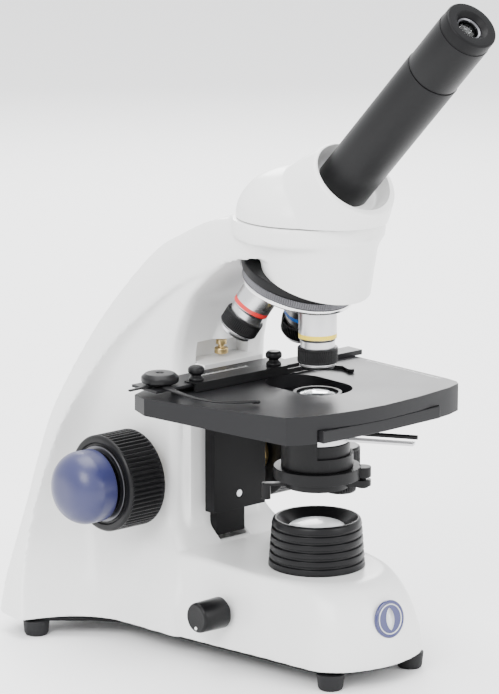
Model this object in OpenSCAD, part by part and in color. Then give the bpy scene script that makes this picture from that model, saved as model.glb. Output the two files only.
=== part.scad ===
// Upright student microscope: cast stand, rotating head, triple nosepiece, mechanical stage.
// Millimetres. Z up, the user sits at -Y, the arm stands at +Y.
// The origin is where the optical axis meets the table.

/* [Stand] */
// Height of the base's lower edge above the table
base_z = 11; // [9:0.5:14]
// Height of the base's top deck above the table
deck_z = 57.5; // [54:0.5:60]
// Reach of the base in front of the optical axis
base_front = 64.5; // [62:1:76]
// Reach of the base behind the optical axis
base_rear = 170; // [160:1:196]
// Half the width of the base at its nose
nose_half = 42; // [40:1:50]
// Half the width across the two rear toes
toe_half = 107; // [100:1:120]
// Half the width of the arm where it meets the head
arm_half = 34; // [33:1:38]
// Height of the arm's top face
arm_top = 260.5; // [255:0.5:266]
// Wall thickness of the hollow base
base_wall = 4; // [3:0.5:5]
// Front face of the arm's column, measured behind the optical axis
column_y = 82; // [81:0.5:84]

/* [Feet and bottom] */
// Radius of a rubber foot at its top
foot_r = 8; // [7:0.5:9]
// Thickness of the bottom plate
plate_t = 1.6; // [1:0.2:2]
// Radius of a foot screw's shank
foot_screw_r = 2; // [1.5:0.25:2.5]

/* [Lamp] */
// Radius of the lamp housing at its foot
lamp_r = 28.1; // [26:0.5:30]
// Height of the lamp housing above the deck
lamp_h = 28.3; // [26:0.5:32]
// Radius of the collector lens
collector_r = 16; // [14:0.5:18]
// Radius of the brightness knob
dimmer_r = 9.2; // [8:0.2:11]
// Length of the brightness knob
dimmer_len = 19; // [15:1:22]
// Radius of the front badge
badge_r = 10.8; // [9:0.2:12]

/* [Focus] */
// Radius of the coarse focus knobs
coarse_r = 28.6; // [26:0.5:30]
// Length of a coarse focus knob
coarse_len = 26.5; // [22:0.5:28]
// Radius of the fine focus knobs
fine_r = 21.5; // [19:0.5:23]
// Length of a fine focus knob with its dome
fine_len = 24.5; // [20:0.5:27]
// Height of the focus axis above the table
focus_z = 97; // [95:0.5:99]
// Module of the focus rack and pinion
rack_module = 0.6; // [0.5:0.05:0.7]
// Number of teeth on the focus pinion
pinion_teeth = 17; // [17:1:20]
// Radius of the hollow coarse shaft
coarse_shaft_r = 6; // [5:0.25:7]
// Radius of the fine shaft that runs through it
fine_shaft_r = 3; // [2:0.25:3.5]
// Half the width of the stage bracket
bracket_half = 20; // [18:0.5:22]

/* [Stage] */
// Height of the stage's top face above the table
stage_z = 162.5; // [160:0.5:163]
// Thickness of the moving stage plate
stage_t = 8; // [6:0.5:8]
// Reach of the stage in front of the optical axis
stage_front = 57; // [54:1:60]
// Half the width of the stage at its front
stage_half = 70; // [66:1:76]
// Reach of the stage behind the optical axis
stage_rear = 60; // [58:0.5:60]
// Reach of the rear left wing, where the specimen finger turns
wing_reach = 93; // [90:1:98]
// Radius of the stage's oval opening
window_r = 18; // [17:0.5:20]
// Height of the X and Y knobs' axis from the optical axis, sideways
control_x = 53; // [52:0.5:58]
// Radius of the upper control knob, for Y
y_knob_r = 12; // [10:0.5:13]
// Radius of the lower control knob, for X
x_knob_r = 9.7; // [8:0.5:11]

/* [Condenser] */
// Outer radius of the condenser sleeve
sleeve_r = 20.8; // [20:0.2:22]
// Wall thickness of the condenser sleeve
sleeve_wall = 1.8; // [1.4:0.2:2.2]
// Radius of the condenser's top lens
condenser_lens_r = 12; // [10:0.5:12.5]
// Radius of a drop-in filter
filter_r = 16; // [14:0.5:17]
// Reach of the two condenser levers from the optical axis
lever_reach = 59; // [50:1:62]

/* [Nosepiece and objectives] */
// Tilt of the nosepiece's axis from the vertical
turret_tilt = 19; // [18:0.5:20]
// Distance from an objective's seat to the point where all objective axes meet
seat_reach = 61.5; // [60:0.5:63]
// Height of the working objective's seat above the table
seat_z = 207; // [206:0.5:209]
// Radius of the nosepiece
turret_r = 33; // [32.5:0.5:35]
// Radius of an objective's barrel
barrel_r = 11; // [10.8:0.1:12]
// Radius of an objective's mounting thread
objective_thread_r = 10.16; // [9.8:0.02:10.2]

/* [Head and eyepiece] */
// Tilt of the viewing tube from the horizontal
tube_tilt = 45; // [43:1:48]
// Outer radius of the viewing tube
tube_r = 15.9; // [15:0.1:17]
// Distance along the tube from the prism to the tube's upper end
tube_end = 130; // [120:1:140]
// Length of the eyepiece that stands out of the tube
eyepiece_len = 41; // [36:1:48]
// Radius of the standard eyepiece barrel
eyepiece_barrel_r = 11.6; // [11:0.1:12]
// Radius of the head casting
head_r = 42; // [40:0.5:44]

/* [Clearances] */
// Radial clearance of a running shaft
run_gap = 0.05; // [0.02:0.01:0.1]
// Gap between sliding faces
slide_gap = 0.15; // [0.1:0.05:0.3]

/* [Hidden] */
$fn = 64;
eps = 0.01;

paint = "#e9e9e6";
satin_black = "#1b1b1d";
steel = "#b9bbbe";
brass = "#b89a55";

// Places of the four feet: x, y
foot_places = [[-31, -46], [31, -46], [-(toe_half - 15), base_rear - 24], [toe_half - 15, base_rear - 24]];
foot_top = base_z - plate_t;

// Focus drive
focus_y = 106.5;
pitch_r = rack_module * pinion_teeth / 2;
rack_y = focus_y - pitch_r;
knob_x = 47.5;
fine_x = knob_x + coarse_len + 3.5;

channel_half = 20;
channel_floor = rack_y - 8;
slide_front = column_y - 6.3;
slide_foot = 60.5;
slide_top = 150;
block_top = 166;
stop_z = block_top + 2;
bracket_front = slide_front - 8.3;

// Stage
base_sheet_top = stage_z - stage_t - 0.5;
base_sheet_t = 7;
base_sheet_z = base_sheet_top - base_sheet_t;
base_half = 45;
skirt_depth = 16;
guide_top = stage_z + 3;
carriage_t = 1.6;
screw_base = guide_top + slide_gap + carriage_t + 0.8;
bar_y = 36;
pivot_at = [-77, 48];
control_y = 38;

// Condenser
sleeve_in = sleeve_r - sleeve_wall;
sleeve_foot = 116.7;
condenser_drop = 6;
groove_z = 131.5;
groove_r = 15;
groove_h = 7;
lever_angle = -57;
lens_top = stage_z - 1;
flange_z = sleeve_foot - 6.9;
filter_pivot = [19.6, -17.2];
holder_z = 104.6;
holder_t = 3.6;

// Nosepiece
cone_z = seat_z + seat_reach;
cut_h = 40.2;
turret_h = cut_h + 6.2;
seat_h = seat_reach * cos(turret_tilt);
seat_ring = seat_reach * sin(turret_tilt);
objective_lengths = [33, 30, 41];

// Head
prism_z = arm_top + 1.5;
collar_t = 39;
head_y = 8;
ring_z = arm_top - 6;

// ---------- helpers ----------

// Lays a shape drawn in the Y-Z plane out along X, centred
module along_x(length) {
    rotate([90, 0, 90]) translate([0, 0, -length / 2]) linear_extrude(length) children();
}

// A cylinder along X from x0 to x1
module rod_x(x0, x1, y, z, r) {
    translate([x0, y, z]) rotate([0, 90, 0]) cylinder(h = x1 - x0, r = r);
}

// A ring standing on z0
module ring(r_out, r_in, z0, h) {
    translate([0, 0, z0]) difference() {
        cylinder(h = h, r = r_out);
        translate([0, 0, -1]) cylinder(h = h + 2, r = r_in);
    }
}

// A bar with round ends between two points of a plane
module rounded_bar(a, b, r) {
    d = b - a;
    start = atan2(d[1], d[0]) + 90;
    polygon(concat([for (i = [0:12]) a + r * [cos(start + 15 * i), sin(start + 15 * i)]],
                   [for (i = [0:12]) b - r * [cos(start + 15 * i), sin(start + 15 * i)]]));
}

// A strip of even width that follows a row of points
module strip(points, half) {
    last = len(points) - 1;
    normals = [for (i = [0:last]) let (d = points[min(i + 1, last)] - points[max(i - 1, 0)])
               [-d[1], d[0]] / norm(d)];
    polygon(concat([for (i = [0:last]) points[i] + half * normals[i]],
                   [for (i = [last:-1:0]) points[i] - half * normals[i]]));
}

// Mirrors its children to both sides of the symmetry plane
module both_sides() {
    children();
    mirror([1, 0, 0]) children();
}

// Puts a shape drawn along +Z from the prism onto the viewing tube's axis
module on_tube(t = 0) {
    translate([0, 0, prism_z]) rotate([90 - tube_tilt, 0, 0]) translate([0, 0, t]) children();
}

// Puts a shape that hangs down from the meeting point of the axes onto the nosepiece's axis
module on_turret() {
    translate([0, 0, cone_z]) rotate([turret_tilt, 0, 0]) children();
}

// Puts an objective, drawn downwards from its seat, onto its own axis
module on_seat(i) {
    on_turret() rotate([0, 0, -120 * i]) rotate([-turret_tilt, 0, 0]) translate([0, 0, -seat_reach]) children();
}

// ---------- stand ----------

// Plan of the base: a rounded nose in front and two splayed toes at the rear
function base_plan(inset = 0) = let (n = nose_half - inset, f = base_front - inset, r = base_rear - inset,
    t = toe_half - inset) [
    [-n * 0.35, -f + 1.5], [-n * 0.66, -f + 6.5], [-n * 0.85, -f + 12.5], [-n * 0.97, -f + 20],
    [-n - 6, -f + 42], [-n - 14, 41], [-n - 20, 95], [-n - 22 - inset * 0.2, 107], [-n - 34, 121],
    [-t + 12, base_rear - 33 + inset], [-t + 3, base_rear - 25 + inset], [-t, base_rear - 17],
    [-t + 2, r - 7], [-t + 8, r - 1], [-t + 16, r],
    [t - 16, r], [t - 8, r - 1], [t - 2, r - 7], [t, base_rear - 17],
    [t - 3, base_rear - 25 + inset], [t - 12, base_rear - 33 + inset], [n + 34, 121],
    [n + 22 + inset * 0.2, 107], [n + 20, 95], [n + 14, 41], [n + 6, -f + 42], [n * 0.97, -f + 20],
    [n * 0.85, -f + 12.5], [n * 0.66, -f + 6.5], [n * 0.35, -f + 1.5]];

// Side outline of the base alone
module base_side() {
    polygon([[-base_front, base_z], [-base_front + 1, 24], [-base_front + 3.5, 40], [-base_front + 8, 48],
             [-base_front + 16, deck_z - 3], [-base_front + 26, deck_z], [base_rear, deck_z], [base_rear, base_z]]);
}

// Side outline of the arm from the base to the nose above the nosepiece
module arm_side() {
    cut = [sin(turret_tilt), cos(turret_tilt)];
    low = [-34, cone_z - (cut_h - 0.4) / cut[1] - 34 * tan(turret_tilt)];
    high = [38, cone_z - (cut_h - 0.4) / cut[1] + 38 * tan(turret_tilt)];
    polygon([[64, deck_z - 2], [76, deck_z], [column_y - 2, 63], [column_y, 71], [column_y, 178],
             [76, 193], [66, 209], [52, 224], high, low, [-37, 222], [-38.5, 236], [-38.5, arm_top],
             [46, arm_top], [64, arm_top - 6], [87, arm_top - 17], [108, 231.5], [133, 204], [150, 178],
             [162, 148], [base_rear - 0.5, 122], [base_rear + 4, 100], [base_rear + 5, 78],
             [base_rear + 3, 45], [base_rear, base_z], [64, base_z]]);
}

// Front outline that the arm and its toes keep inside: wide at the table, narrow at the head
module front_view() {
    polygon([[-toe_half, base_z], [-toe_half + 6, 30], [-toe_half + 20, 60], [-71, 97], [-58, 140],
             [-46, 185], [-arm_half - 3, 225], [-arm_half - 9.8, arm_top - 12], [-arm_half - 9.8, arm_top],
             [arm_half + 9.8, arm_top], [arm_half + 9.8, arm_top - 12], [arm_half + 3, 225], [46, 185],
             [58, 140], [71, 97], [toe_half - 20, 60], [toe_half - 6, 30], [toe_half, base_z]]);
}

// Plan of the arm: cheeks beside the column and the spine that flares out behind them
module arm_plan() {
    polygon([[-arm_half + 4, 2], [arm_half - 4, 2], [arm_half, 20], [arm_half + 2, 80], [43, 108], [46, 136],
             [54, 148], [66, 152], [toe_half - 12, 152], [toe_half, 158], [toe_half - 2, base_rear - 7],
             [toe_half - 8, base_rear - 1], [toe_half - 22, base_rear + 3], [30, base_rear + 6],
             [-30, base_rear + 6], [22 - toe_half, base_rear + 3], [8 - toe_half, base_rear - 1],
             [2 - toe_half, base_rear - 7], [-toe_half, 158], [12 - toe_half, 152], [-66, 152],
             [-54, 148], [-46, 136], [-43, 108], [-arm_half - 2, 80], [-arm_half, 20]]);
}

// Space inside the hollow base
module base_cavity() {
    difference() {
        translate([0, 0, base_z - 1]) linear_extrude(deck_z - base_z - base_wall + 1)
            polygon([[-nose_half + 16, -base_front + 24], [-nose_half + 9, 0], [-nose_half + 2, 60],
                     [-nose_half - 2, 98], [-30, 104], [-30, base_rear - 8], [30, base_rear - 8], [30, 104],
                     [nose_half + 2, 98], [nose_half - 2, 60], [nose_half - 9, 0],
                     [nose_half - 16, -base_front + 24]]);
        for (p = foot_places) translate([p[0], p[1], base_z]) cylinder(h = 40, r = 6);
    }
}

// Space inside the hollow arm, open towards the base
module arm_cavity() {
    along_x(56) polygon([[112, base_z - 1], [162, base_z - 1], [166, 60], [166, 98], [162, 122], [153, 146],
                         [139, 168], [124, 186], [104, 200], [104, 186], [118, 168], [122, 140], [122, 112],
                         [118, 84], [112, 60]]);
    translate([-78, 156, base_z - 1]) cube([156, 9, 46]);
}

// Space outside the base's leaning flank, left side
module flank() {
    translate([-nose_half - 3, -base_front + 42, base_z]) rotate([0, 0, 7.3]) rotate([0, 11.3, 0])
        translate([-60, -60, -8]) cube([60, 175, 80]);
}

module stand() {
    color(paint) difference() {
        union() {
            difference() {
                intersection() {
                    translate([0, 0, base_z]) linear_extrude(deck_z - base_z) polygon(base_plan());
                    along_x(2 * toe_half) base_side();
                    rotate([90, 0, 0]) translate([0, 0, -base_rear - 20]) linear_extrude(base_rear + 120)
                        polygon([[-toe_half, base_z], [-toe_half + 12, deck_z], [toe_half - 12, deck_z],
                                 [toe_half, base_z]]);
                }
                both_sides() flank();
            }
            intersection() {
                along_x(2 * toe_half) arm_side();
                rotate([90, 0, 0]) translate([0, 0, -base_rear - 20]) linear_extrude(base_rear + 120)
                    front_view();
                translate([0, 0, base_z]) linear_extrude(arm_top) arm_plan();
            }
            // Nose round the optical axis, cut square to the nosepiece's axis
            difference() {
                translate([0, 0, seat_z - 2]) cylinder(h = arm_top - seat_z + 1, r1 = arm_half - 5,
                                                       r2 = arm_half + 2);
                on_turret() translate([0, 0, -cut_h - 60]) cylinder(h = 60, r = 90);
            }
            translate([0, head_y, arm_top - 11]) cylinder(h = 11, r = head_r + 1.8);
            // Lug that carries the stop screw
            translate([0, column_y + 2, 178]) cylinder(h = 24, r = 7);
        }
        base_cavity();
        // Lamp opening
        translate([0, 0, deck_z - base_wall - 2]) cylinder(h = base_wall + 3, r = lamp_seat_r + run_gap);
        // Channel for the focus slide, with a deeper slot for the rack and a pocket for the pinion
        translate([-channel_half, column_y - 20, 60]) cube([2 * channel_half, channel_floor - column_y + 20, 118]);
        translate([-7, channel_floor - 1, 42]) cube([14, rack_y + 2.5 - channel_floor, 136]);
        translate([-7, rack_y - 1, focus_z - 12]) cube([14, 2 * pitch_r + 4, 24]);
        rod_x(-toe_half, toe_half, focus_y, focus_z, bush_r);
        both_sides() rod_x(43 - 0.2, toe_half, focus_y, focus_z, bush_r + 4.2);
        // Slot through the deck, into which the focus slide's foot goes down
        translate([-tail_half - 1, slide_front - 1, 42])
            cube([2 * tail_half + 2, channel_floor - slide_front + 1, 20]);
        // Room for the nosepiece under the arm
        on_turret() translate([0, 0, -cut_h - 45]) cylinder(h = 45.2, r = turret_r + 2.5);
        arm_cavity();
        // Head clamp screw
        rod_x(head_ring_r - 2, 60, 0, ring_z + 3, head_screw_r);
        // Brightness control
        rod_x(-toe_half, -30, dimmer_y, dimmer_z, dimmer_shaft_r + 1);
        // Power inlet at the rear
        translate([0, base_rear + 10, inlet_z]) rotate([90, 0, 0]) cylinder(h = 30, r = inlet_r);
        // Badge seat
        badge_place() translate([0, 0, -1]) cylinder(h = 8, r = badge_r + 0.1);
        // Foot screws
        for (p = foot_places) translate([p[0], p[1], 0]) cylinder(h = base_z + 9, r = foot_screw_r);
        // Stop screw
        translate([0, column_y + 2, 170]) cylinder(h = 22, r = stop_r);
        // Light path, nosepiece seat and head seat
        translate([0, 0, seat_z]) cylinder(h = arm_top - seat_z + 1, r = 12);
        translate([0, 0, ring_z]) cylinder(h = 10, r = head_ring_r);
        translate([0, 0, ring_z - 8]) cylinder(h = 10, r = 24);
        on_turret() translate([0, 0, -cut_h - 1]) cylinder(h = 10, r = 4.5);
    }
}
bush_r = coarse_shaft_r + 3;
lamp_seat_r = 20;
dimmer_y = 26.5;
dimmer_z = 32.5;
dimmer_shaft_r = 3;
inlet_z = 30;
inlet_r = 6;
stop_r = 1.8;
head_ring_r = 33;

module base_plate() {
    color(satin_black) difference() {
        translate([0, 0, foot_top]) linear_extrude(plate_t) polygon(base_plan(2.5));
        both_sides() translate([1.5, 0, 0]) flank();
        for (p = foot_places) translate([p[0], p[1], 0]) cylinder(h = base_z + 5, r = foot_screw_r);
    }
}

module feet() {
    color("#202022") for (p = foot_places) translate([p[0], p[1], 0]) difference() {
        rotate_extrude() polygon([[0, 0], [foot_r - 1.6, 0], [foot_r - 1, 0.8], [foot_r, foot_top],
                                  [0, foot_top]]);
        translate([0, 0, -1]) cylinder(h = foot_top + 2, r = foot_screw_r);
        translate([0, 0, -1]) cylinder(h = 5, r = 2 * foot_screw_r);
    }
}

module foot_screws() {
    color(steel) for (p = foot_places) translate([p[0], p[1], 4 - 1.6]) {
        cylinder(h = 1.6, r = 1.9 * foot_screw_r);
        cylinder(h = base_z + 6, r = foot_screw_r);
    }
}

// Seat of the badge on the nose's leaning front face
module badge_place() {
    translate([0, -base_front + 3.3, 38.5]) rotate([90 - 8.5, 0, 0]) children();
}

module front_badge() {
    color("#1f2a6b") badge_place() translate([0, 0, -1]) cylinder(h = 2, r = badge_r);
}

// ---------- lamp ----------

module lamp_housing() {
    rib = lamp_h / 6;
    lean = 2.2;
    color(satin_black) difference() {
        rotate_extrude() polygon(concat(
            [[0, deck_z - base_wall + 0.5], [lamp_seat_r, deck_z - base_wall + 0.5], [lamp_seat_r, deck_z],
             [lamp_r, deck_z]],
            [for (i = [1:5]) each [[lamp_r - lean * i / 6, deck_z + rib * i - 0.9],
                                   [lamp_r - lean * i / 6 - 1.3, deck_z + rib * i - 0.7],
                                   [lamp_r - lean * i / 6 - 1.3, deck_z + rib * i + 0.7],
                                   [lamp_r - lean * i / 6, deck_z + rib * i + 0.9]]],
            [[lamp_r - lean - 0.4, deck_z + lamp_h - 0.8], [lamp_r - lean - 1.4, deck_z + lamp_h],
             [0, deck_z + lamp_h]]));
        translate([0, 0, deck_z - 20]) cylinder(h = 60, r = collector_r - 1.5);
        translate([0, 0, deck_z + lamp_h - 8]) cylinder(h = 20, r = collector_r + run_gap);
        translate([0, 0, deck_z + lamp_h - 5])
            cylinder(h = 5.01, r1 = collector_r + run_gap, r2 = lamp_r - lean - 2.6);
    }
}

module collector_lens() {
    dome = 3.6;
    r_curve = (collector_r * collector_r + dome * dome) / (2 * dome);
    color("lightcyan", 0.5) intersection() {
        translate([0, 0, deck_z + lamp_h - 8]) cylinder(h = 10, r = collector_r);
        translate([0, 0, deck_z + lamp_h - 5 + dome - r_curve]) sphere(r_curve);
    }
}

module led_module() {
    color("silver") {
        translate([0, 0, base_z]) cylinder(h = 6, r = 17);
        for (i = [0:7]) rotate(45 * i) translate([3, -0.8, base_z + 6]) cube([13, 1.6, 22]);
        translate([0, 0, base_z + 6]) cylinder(h = 22, r = 5);
        translate([0, 0, base_z + 28]) cylinder(h = 3, r = 16);
    }
    color("ivory") translate([0, 0, base_z + 31]) cylinder(h = 2.2, r = 3.6);
}

module driver_board() {
    color("darkgreen") translate([-24, 52, base_z + 6]) cube([48, 36, 1.6]);
    color("dimgray") {
        for (x = [-21, 21], y = [55, 85]) translate([x, y, base_z]) cylinder(h = 6, r = 2.5);
        translate([-14, 60, base_z + 7.6]) cube([12, 14, 9]);
        translate([8, 66, base_z + 7.6]) cylinder(h = 12, r = 5);
    }
}

module dc_inlet() {
    color(satin_black) difference() {
        union() {
            translate([0, base_rear + 1.5, inlet_z]) rotate([90, 0, 0]) cylinder(h = 20, r = inlet_r);
            translate([0, base_rear - 8, inlet_z]) rotate([90, 0, 0]) cylinder(h = 3, r = inlet_r + 2);
        }
        translate([0, base_rear + 2.5, inlet_z]) rotate([90, 0, 0]) cylinder(h = 14, r = inlet_hole_r);
    }
    color(steel) translate([0, base_rear, inlet_z]) rotate([90, 0, 0]) cylinder(h = 12.5, r = 1);
}
inlet_hole_r = 2.75;

module dimmer_pot() {
    color(steel) difference() {
        union() {
            translate([-33, dimmer_y - 8, dimmer_z - 8]) cube([9, 16, 16]);
            rod_x(-35, -32, dimmer_y, dimmer_z, 6);
        }
        rod_x(-37, -26, dimmer_y, dimmer_z, dimmer_shaft_r + run_gap);
    }
}

module dimmer_shaft() {
    color(steel) rod_x(-62, -26.5, dimmer_y, dimmer_z, dimmer_shaft_r);
}

module dimmer_knob() {
    x_in = -50.5;
    color(satin_black) difference() {
        translate([x_in, dimmer_y, dimmer_z]) rotate([0, -90, 0]) rotate_extrude()
            polygon([[0, 0], [dimmer_r, 0], [dimmer_r - 0.5, dimmer_len - 1], [dimmer_r - 1.5, dimmer_len],
                     [0, dimmer_len]]);
        rod_x(-62, x_in + 1, dimmer_y, dimmer_z, dimmer_shaft_r);
    }
    color("white") translate([x_in - dimmer_len + 0.2, dimmer_y, dimmer_z - dimmer_r + 3.2])
        rotate([0, -90, 0]) cylinder(h = 0.5, r = 1);
}

// ---------- focus drive ----------

// Half of the slide's dovetail, as it slides between the rails
slide_half = 11;
tail_half = 14;
tail_y = column_y + 2;
rail_h = 72;
rail_screw_x = 16.8;
rail_screws = [slide_foot + 12, slide_foot + 62];

module guide_rails() {
    g = slide_gap;
    color(steel) both_sides() difference() {
        translate([0, 0, slide_foot + 1]) linear_extrude(rail_h)
            polygon([[slide_half + g, column_y], [19.5, column_y], [19.5, channel_floor],
                     [tail_half + g, channel_floor], [tail_half + g, tail_y + 4], [slide_half + g, tail_y]]);
        for (z = rail_screws) translate([rail_screw_x, column_y - 1, z]) rotate([-90, 0, 0])
            cylinder(h = 30, r = screw_r);
    }
    color(satin_black) both_sides() for (z = rail_screws)
        translate([rail_screw_x, column_y + 0.4, z]) rotate([-90, 0, 0])
            cylinder(h = channel_floor - column_y - 0.4, r = screw_r);
}

module shaft_bushes() {
    color(brass) both_sides() difference() {
        union() {
            rod_x(20, 43, focus_y, focus_z, bush_r);
            rod_x(43, 46, focus_y, focus_z, bush_r + 4);
        }
        rod_x(19, 48, focus_y, focus_z, coarse_shaft_r + run_gap);
    }
}

module stop_screw() {
    color(brass) {
        translate([0, column_y + 2, stop_z]) cylinder(h = 3.6, r = 4.1);
        translate([0, column_y + 2, stop_z]) cylinder(h = 22, r = stop_r);
        translate([0, column_y + 2, stop_z + 5.6]) cylinder(h = 3, r = 3.2);
    }
}

// Involute tooth flank of the pinion, mirrored round each tooth
function involute(base, t) = [base * (cos(t) + t * PI / 180 * sin(t)), base * (sin(t) - t * PI / 180 * cos(t))];
function turned(p, a) = [p[0] * cos(a) - p[1] * sin(a), p[0] * sin(a) + p[1] * cos(a)];
function pinion_outline() = let (
    pressure = 20,
    base = pitch_r * cos(pressure),
    tip = pitch_r + 0.85 * rack_module,
    root = pitch_r - 1.25 * rack_module,
    t_tip = sqrt(tip * tip / (base * base) - 1) * 180 / PI,
    flank0 = tan(pressure) * 180 / PI - pressure,
    half_tooth = 90 / pinion_teeth - 0.09 / pitch_r * 180 / PI)
    [for (i = [0:pinion_teeth - 1]) let (a = 360 * i / pinion_teeth) each [
        turned([root, 0], a - half_tooth - flank0),
        each [for (k = [0:4]) turned(involute(base, t_tip * k / 4), a - half_tooth - flank0)],
        each [for (k = [4:-1:0]) let (p = involute(base, t_tip * k / 4))
              turned([p[0], -p[1]], a + half_tooth + flank0)],
        turned([root, 0], a + half_tooth + flank0)]];

module pinion_shaft() {
    color(steel) difference() {
        union() {
            rod_x(-20, 20, focus_y, focus_z, pitch_r - 1.3 * rack_module);
            both_sides() rod_x(12, knob_x + coarse_len - 2, focus_y, focus_z, coarse_shaft_r);
            // A tooth space faces the rack's tooth at the axis height
            translate([-5, focus_y, focus_z]) rotate([90, 0, 90]) rotate(180 + 180 / pinion_teeth)
                linear_extrude(10) polygon(pinion_outline());
        }
        rod_x(-100, 100, focus_y, focus_z, fine_shaft_r + run_gap);
    }
}

// Ribbed cylinder with straight grooves along it
module ribbed(r, h, count, depth, width) {
    difference() {
        cylinder(h = h, r = r);
        for (i = [0:count - 1]) rotate(360 * i / count) translate([r - depth, -width / 2, 1.5])
            cube([depth + 1, width, h - 3]);
    }
}

module coarse_knobs() {
    color(satin_black) both_sides() translate([knob_x, focus_y, focus_z]) rotate([0, 90, 0]) difference() {
        ribbed(coarse_r, coarse_len, 36, 0.9, 1.4);
        translate([0, 0, -1]) cylinder(h = coarse_len + 2, r = coarse_shaft_r);
    }
}

module fine_shaft() {
    color(steel) rod_x(-fine_x - fine_len + 6, fine_x + fine_len - 6, focus_y, focus_z, fine_shaft_r);
}

module fine_knobs() {
    dome = fine_len - 10;
    color("#2b3a8c") both_sides() translate([fine_x, focus_y, focus_z]) rotate([0, 90, 0]) difference() {
        rotate_extrude() polygon(concat([[0, 0], [fine_r - 1, 0], [fine_r, 1]],
            [for (a = [0:6:90]) [fine_r * pow(cos(a), 0.62), fine_len - dome + dome * pow(sin(a), 1.25)]]));
        translate([0, 0, -1]) cylinder(h = fine_len - 5, r = fine_shaft_r);
    }
}

module focus_slide() {
    color(satin_black) translate([0, 0, slide_foot]) linear_extrude(slide_top - slide_foot)
        polygon([[-slide_half, slide_front], [slide_half, slide_front], [slide_half, tail_y],
                 [tail_half, tail_y + 4], [tail_half, channel_floor - slide_gap],
                 [-tail_half, channel_floor - slide_gap], [-tail_half, tail_y + 4], [-slide_half, tail_y]]);
}

// Rack with straight-sided teeth; one tooth stands at the focus axis height
module focus_rack() {
    pitch = PI * rack_module;
    tip_y = rack_y + 0.85 * rack_module;
    root_y = rack_y - 1.25 * rack_module;
    half = pitch / 4 - 0.09;
    lean = tan(20) * rack_module;
    first = ceil((slide_foot + 2 - focus_z) / pitch);
    last = floor((slide_top - 2 - focus_z) / pitch);
    color(steel) translate([-4, 0, 0]) rotate([90, 0, 90]) linear_extrude(8)
        polygon(concat([[channel_floor - slide_gap, slide_foot]],
            [[root_y, slide_foot]],
            [for (k = [first:last]) each [
                [root_y, focus_z + k * pitch - half - 1.25 * lean],
                [tip_y, focus_z + k * pitch - half + 0.85 * lean],
                [tip_y, focus_z + k * pitch + half - 0.85 * lean],
                [root_y, focus_z + k * pitch + half + 1.25 * lean]]],
            [[root_y, slide_top], [channel_floor - slide_gap, slide_top]]));
}

module focus_block() {
    color(paint) translate([0, 0, slide_top]) difference() {
        union() {
            translate([-19, slide_front, 0])
                cube([38, channel_floor - slide_gap - slide_front, block_top - slide_top]);
            translate([-22.6, slide_front - 3, 7])
                cube([45.2, column_y - slide_front + 2, block_top - slide_top - 7]);
        }
        for (x = [-15, 15]) translate([x, slide_front - 4, 11.5]) rotate([-90, 0, 0]) cylinder(h = 3, r = 1.6);
    }
}

module stage_bracket() {
    color(satin_black) difference() {
        translate([-bracket_half, bracket_front, 77]) cube([2 * bracket_half, slide_front - slide_gap - bracket_front,
                                                            base_sheet_z - 77]);
        translate([0, bracket_front - 1, 86]) rotate([-90, 0, 0]) cylinder(h = 20, r = screw_r);
        translate([0, bracket_front - 1, 86]) rotate([-90, 0, 0]) cylinder(h = 4, r = 2.4);
    }
}
screw_r = 1.5;

module bracket_screw() {
    color(steel) difference() {
        union() {
            translate([0, bracket_front + 0.4, 86]) rotate([-90, 0, 0]) cylinder(h = 2.6, r = 2.4);
            translate([0, bracket_front + 0.4, 86]) rotate([-90, 0, 0])
                cylinder(h = slide_front - slide_gap - bracket_front - 0.4, r = screw_r);
        }
        translate([0, bracket_front, 86]) rotate([-90, 0, 0]) cylinder(h = 2, r = 1.1, $fn = 6);
    }
}

// ---------- stage ----------

// Plan of the moving stage plate: bowed front, wing at the rear left
function stage_plan(inset = 0) = let (h = stage_half - inset, f = stage_front - inset, w = wing_reach - inset) [
    [-h + 7, -f + 14], [-h + 20, -f + 7.5], [-h + 33, -f + 4], [-h + 52, -f + 1], [0, -f],
    [h - 42, -f + 2], [h - 14, -f + 6.5], [h - 3, -f + 10.5], [h, -f + 15],
    [h + 1, -f + 24], [h, stage_rear - inset], [-w + 14, stage_rear - inset], [-w + 3, stage_rear - 5],
    [-w, stage_rear - 17]];

module stage_window(extra = 0) {
    hull() {
        translate([0, -3]) circle(window_r + extra);
        translate([0, 18]) circle(window_r + extra);
    }
}

module stage_base() {
    color(satin_black) difference() {
        translate([0, 0, base_sheet_z]) linear_extrude(base_sheet_t)
            polygon([[-base_half, -stage_front + 2.5], [0, -stage_front + 0.6], [base_half, -stage_front + 2.5],
                     [base_half, 40], [30, stage_rear + 3], [-30, stage_rear + 3], [-base_half, 40]]);
        translate([0, 0, base_sheet_z - 1]) cylinder(h = base_sheet_t + 2, r = sleeve_in);
    }
    color(satin_black) translate([-bracket_half, stage_rear, base_sheet_z])
        cube([2 * bracket_half, slide_front - slide_gap - stage_rear, base_sheet_t]);
}

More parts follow.
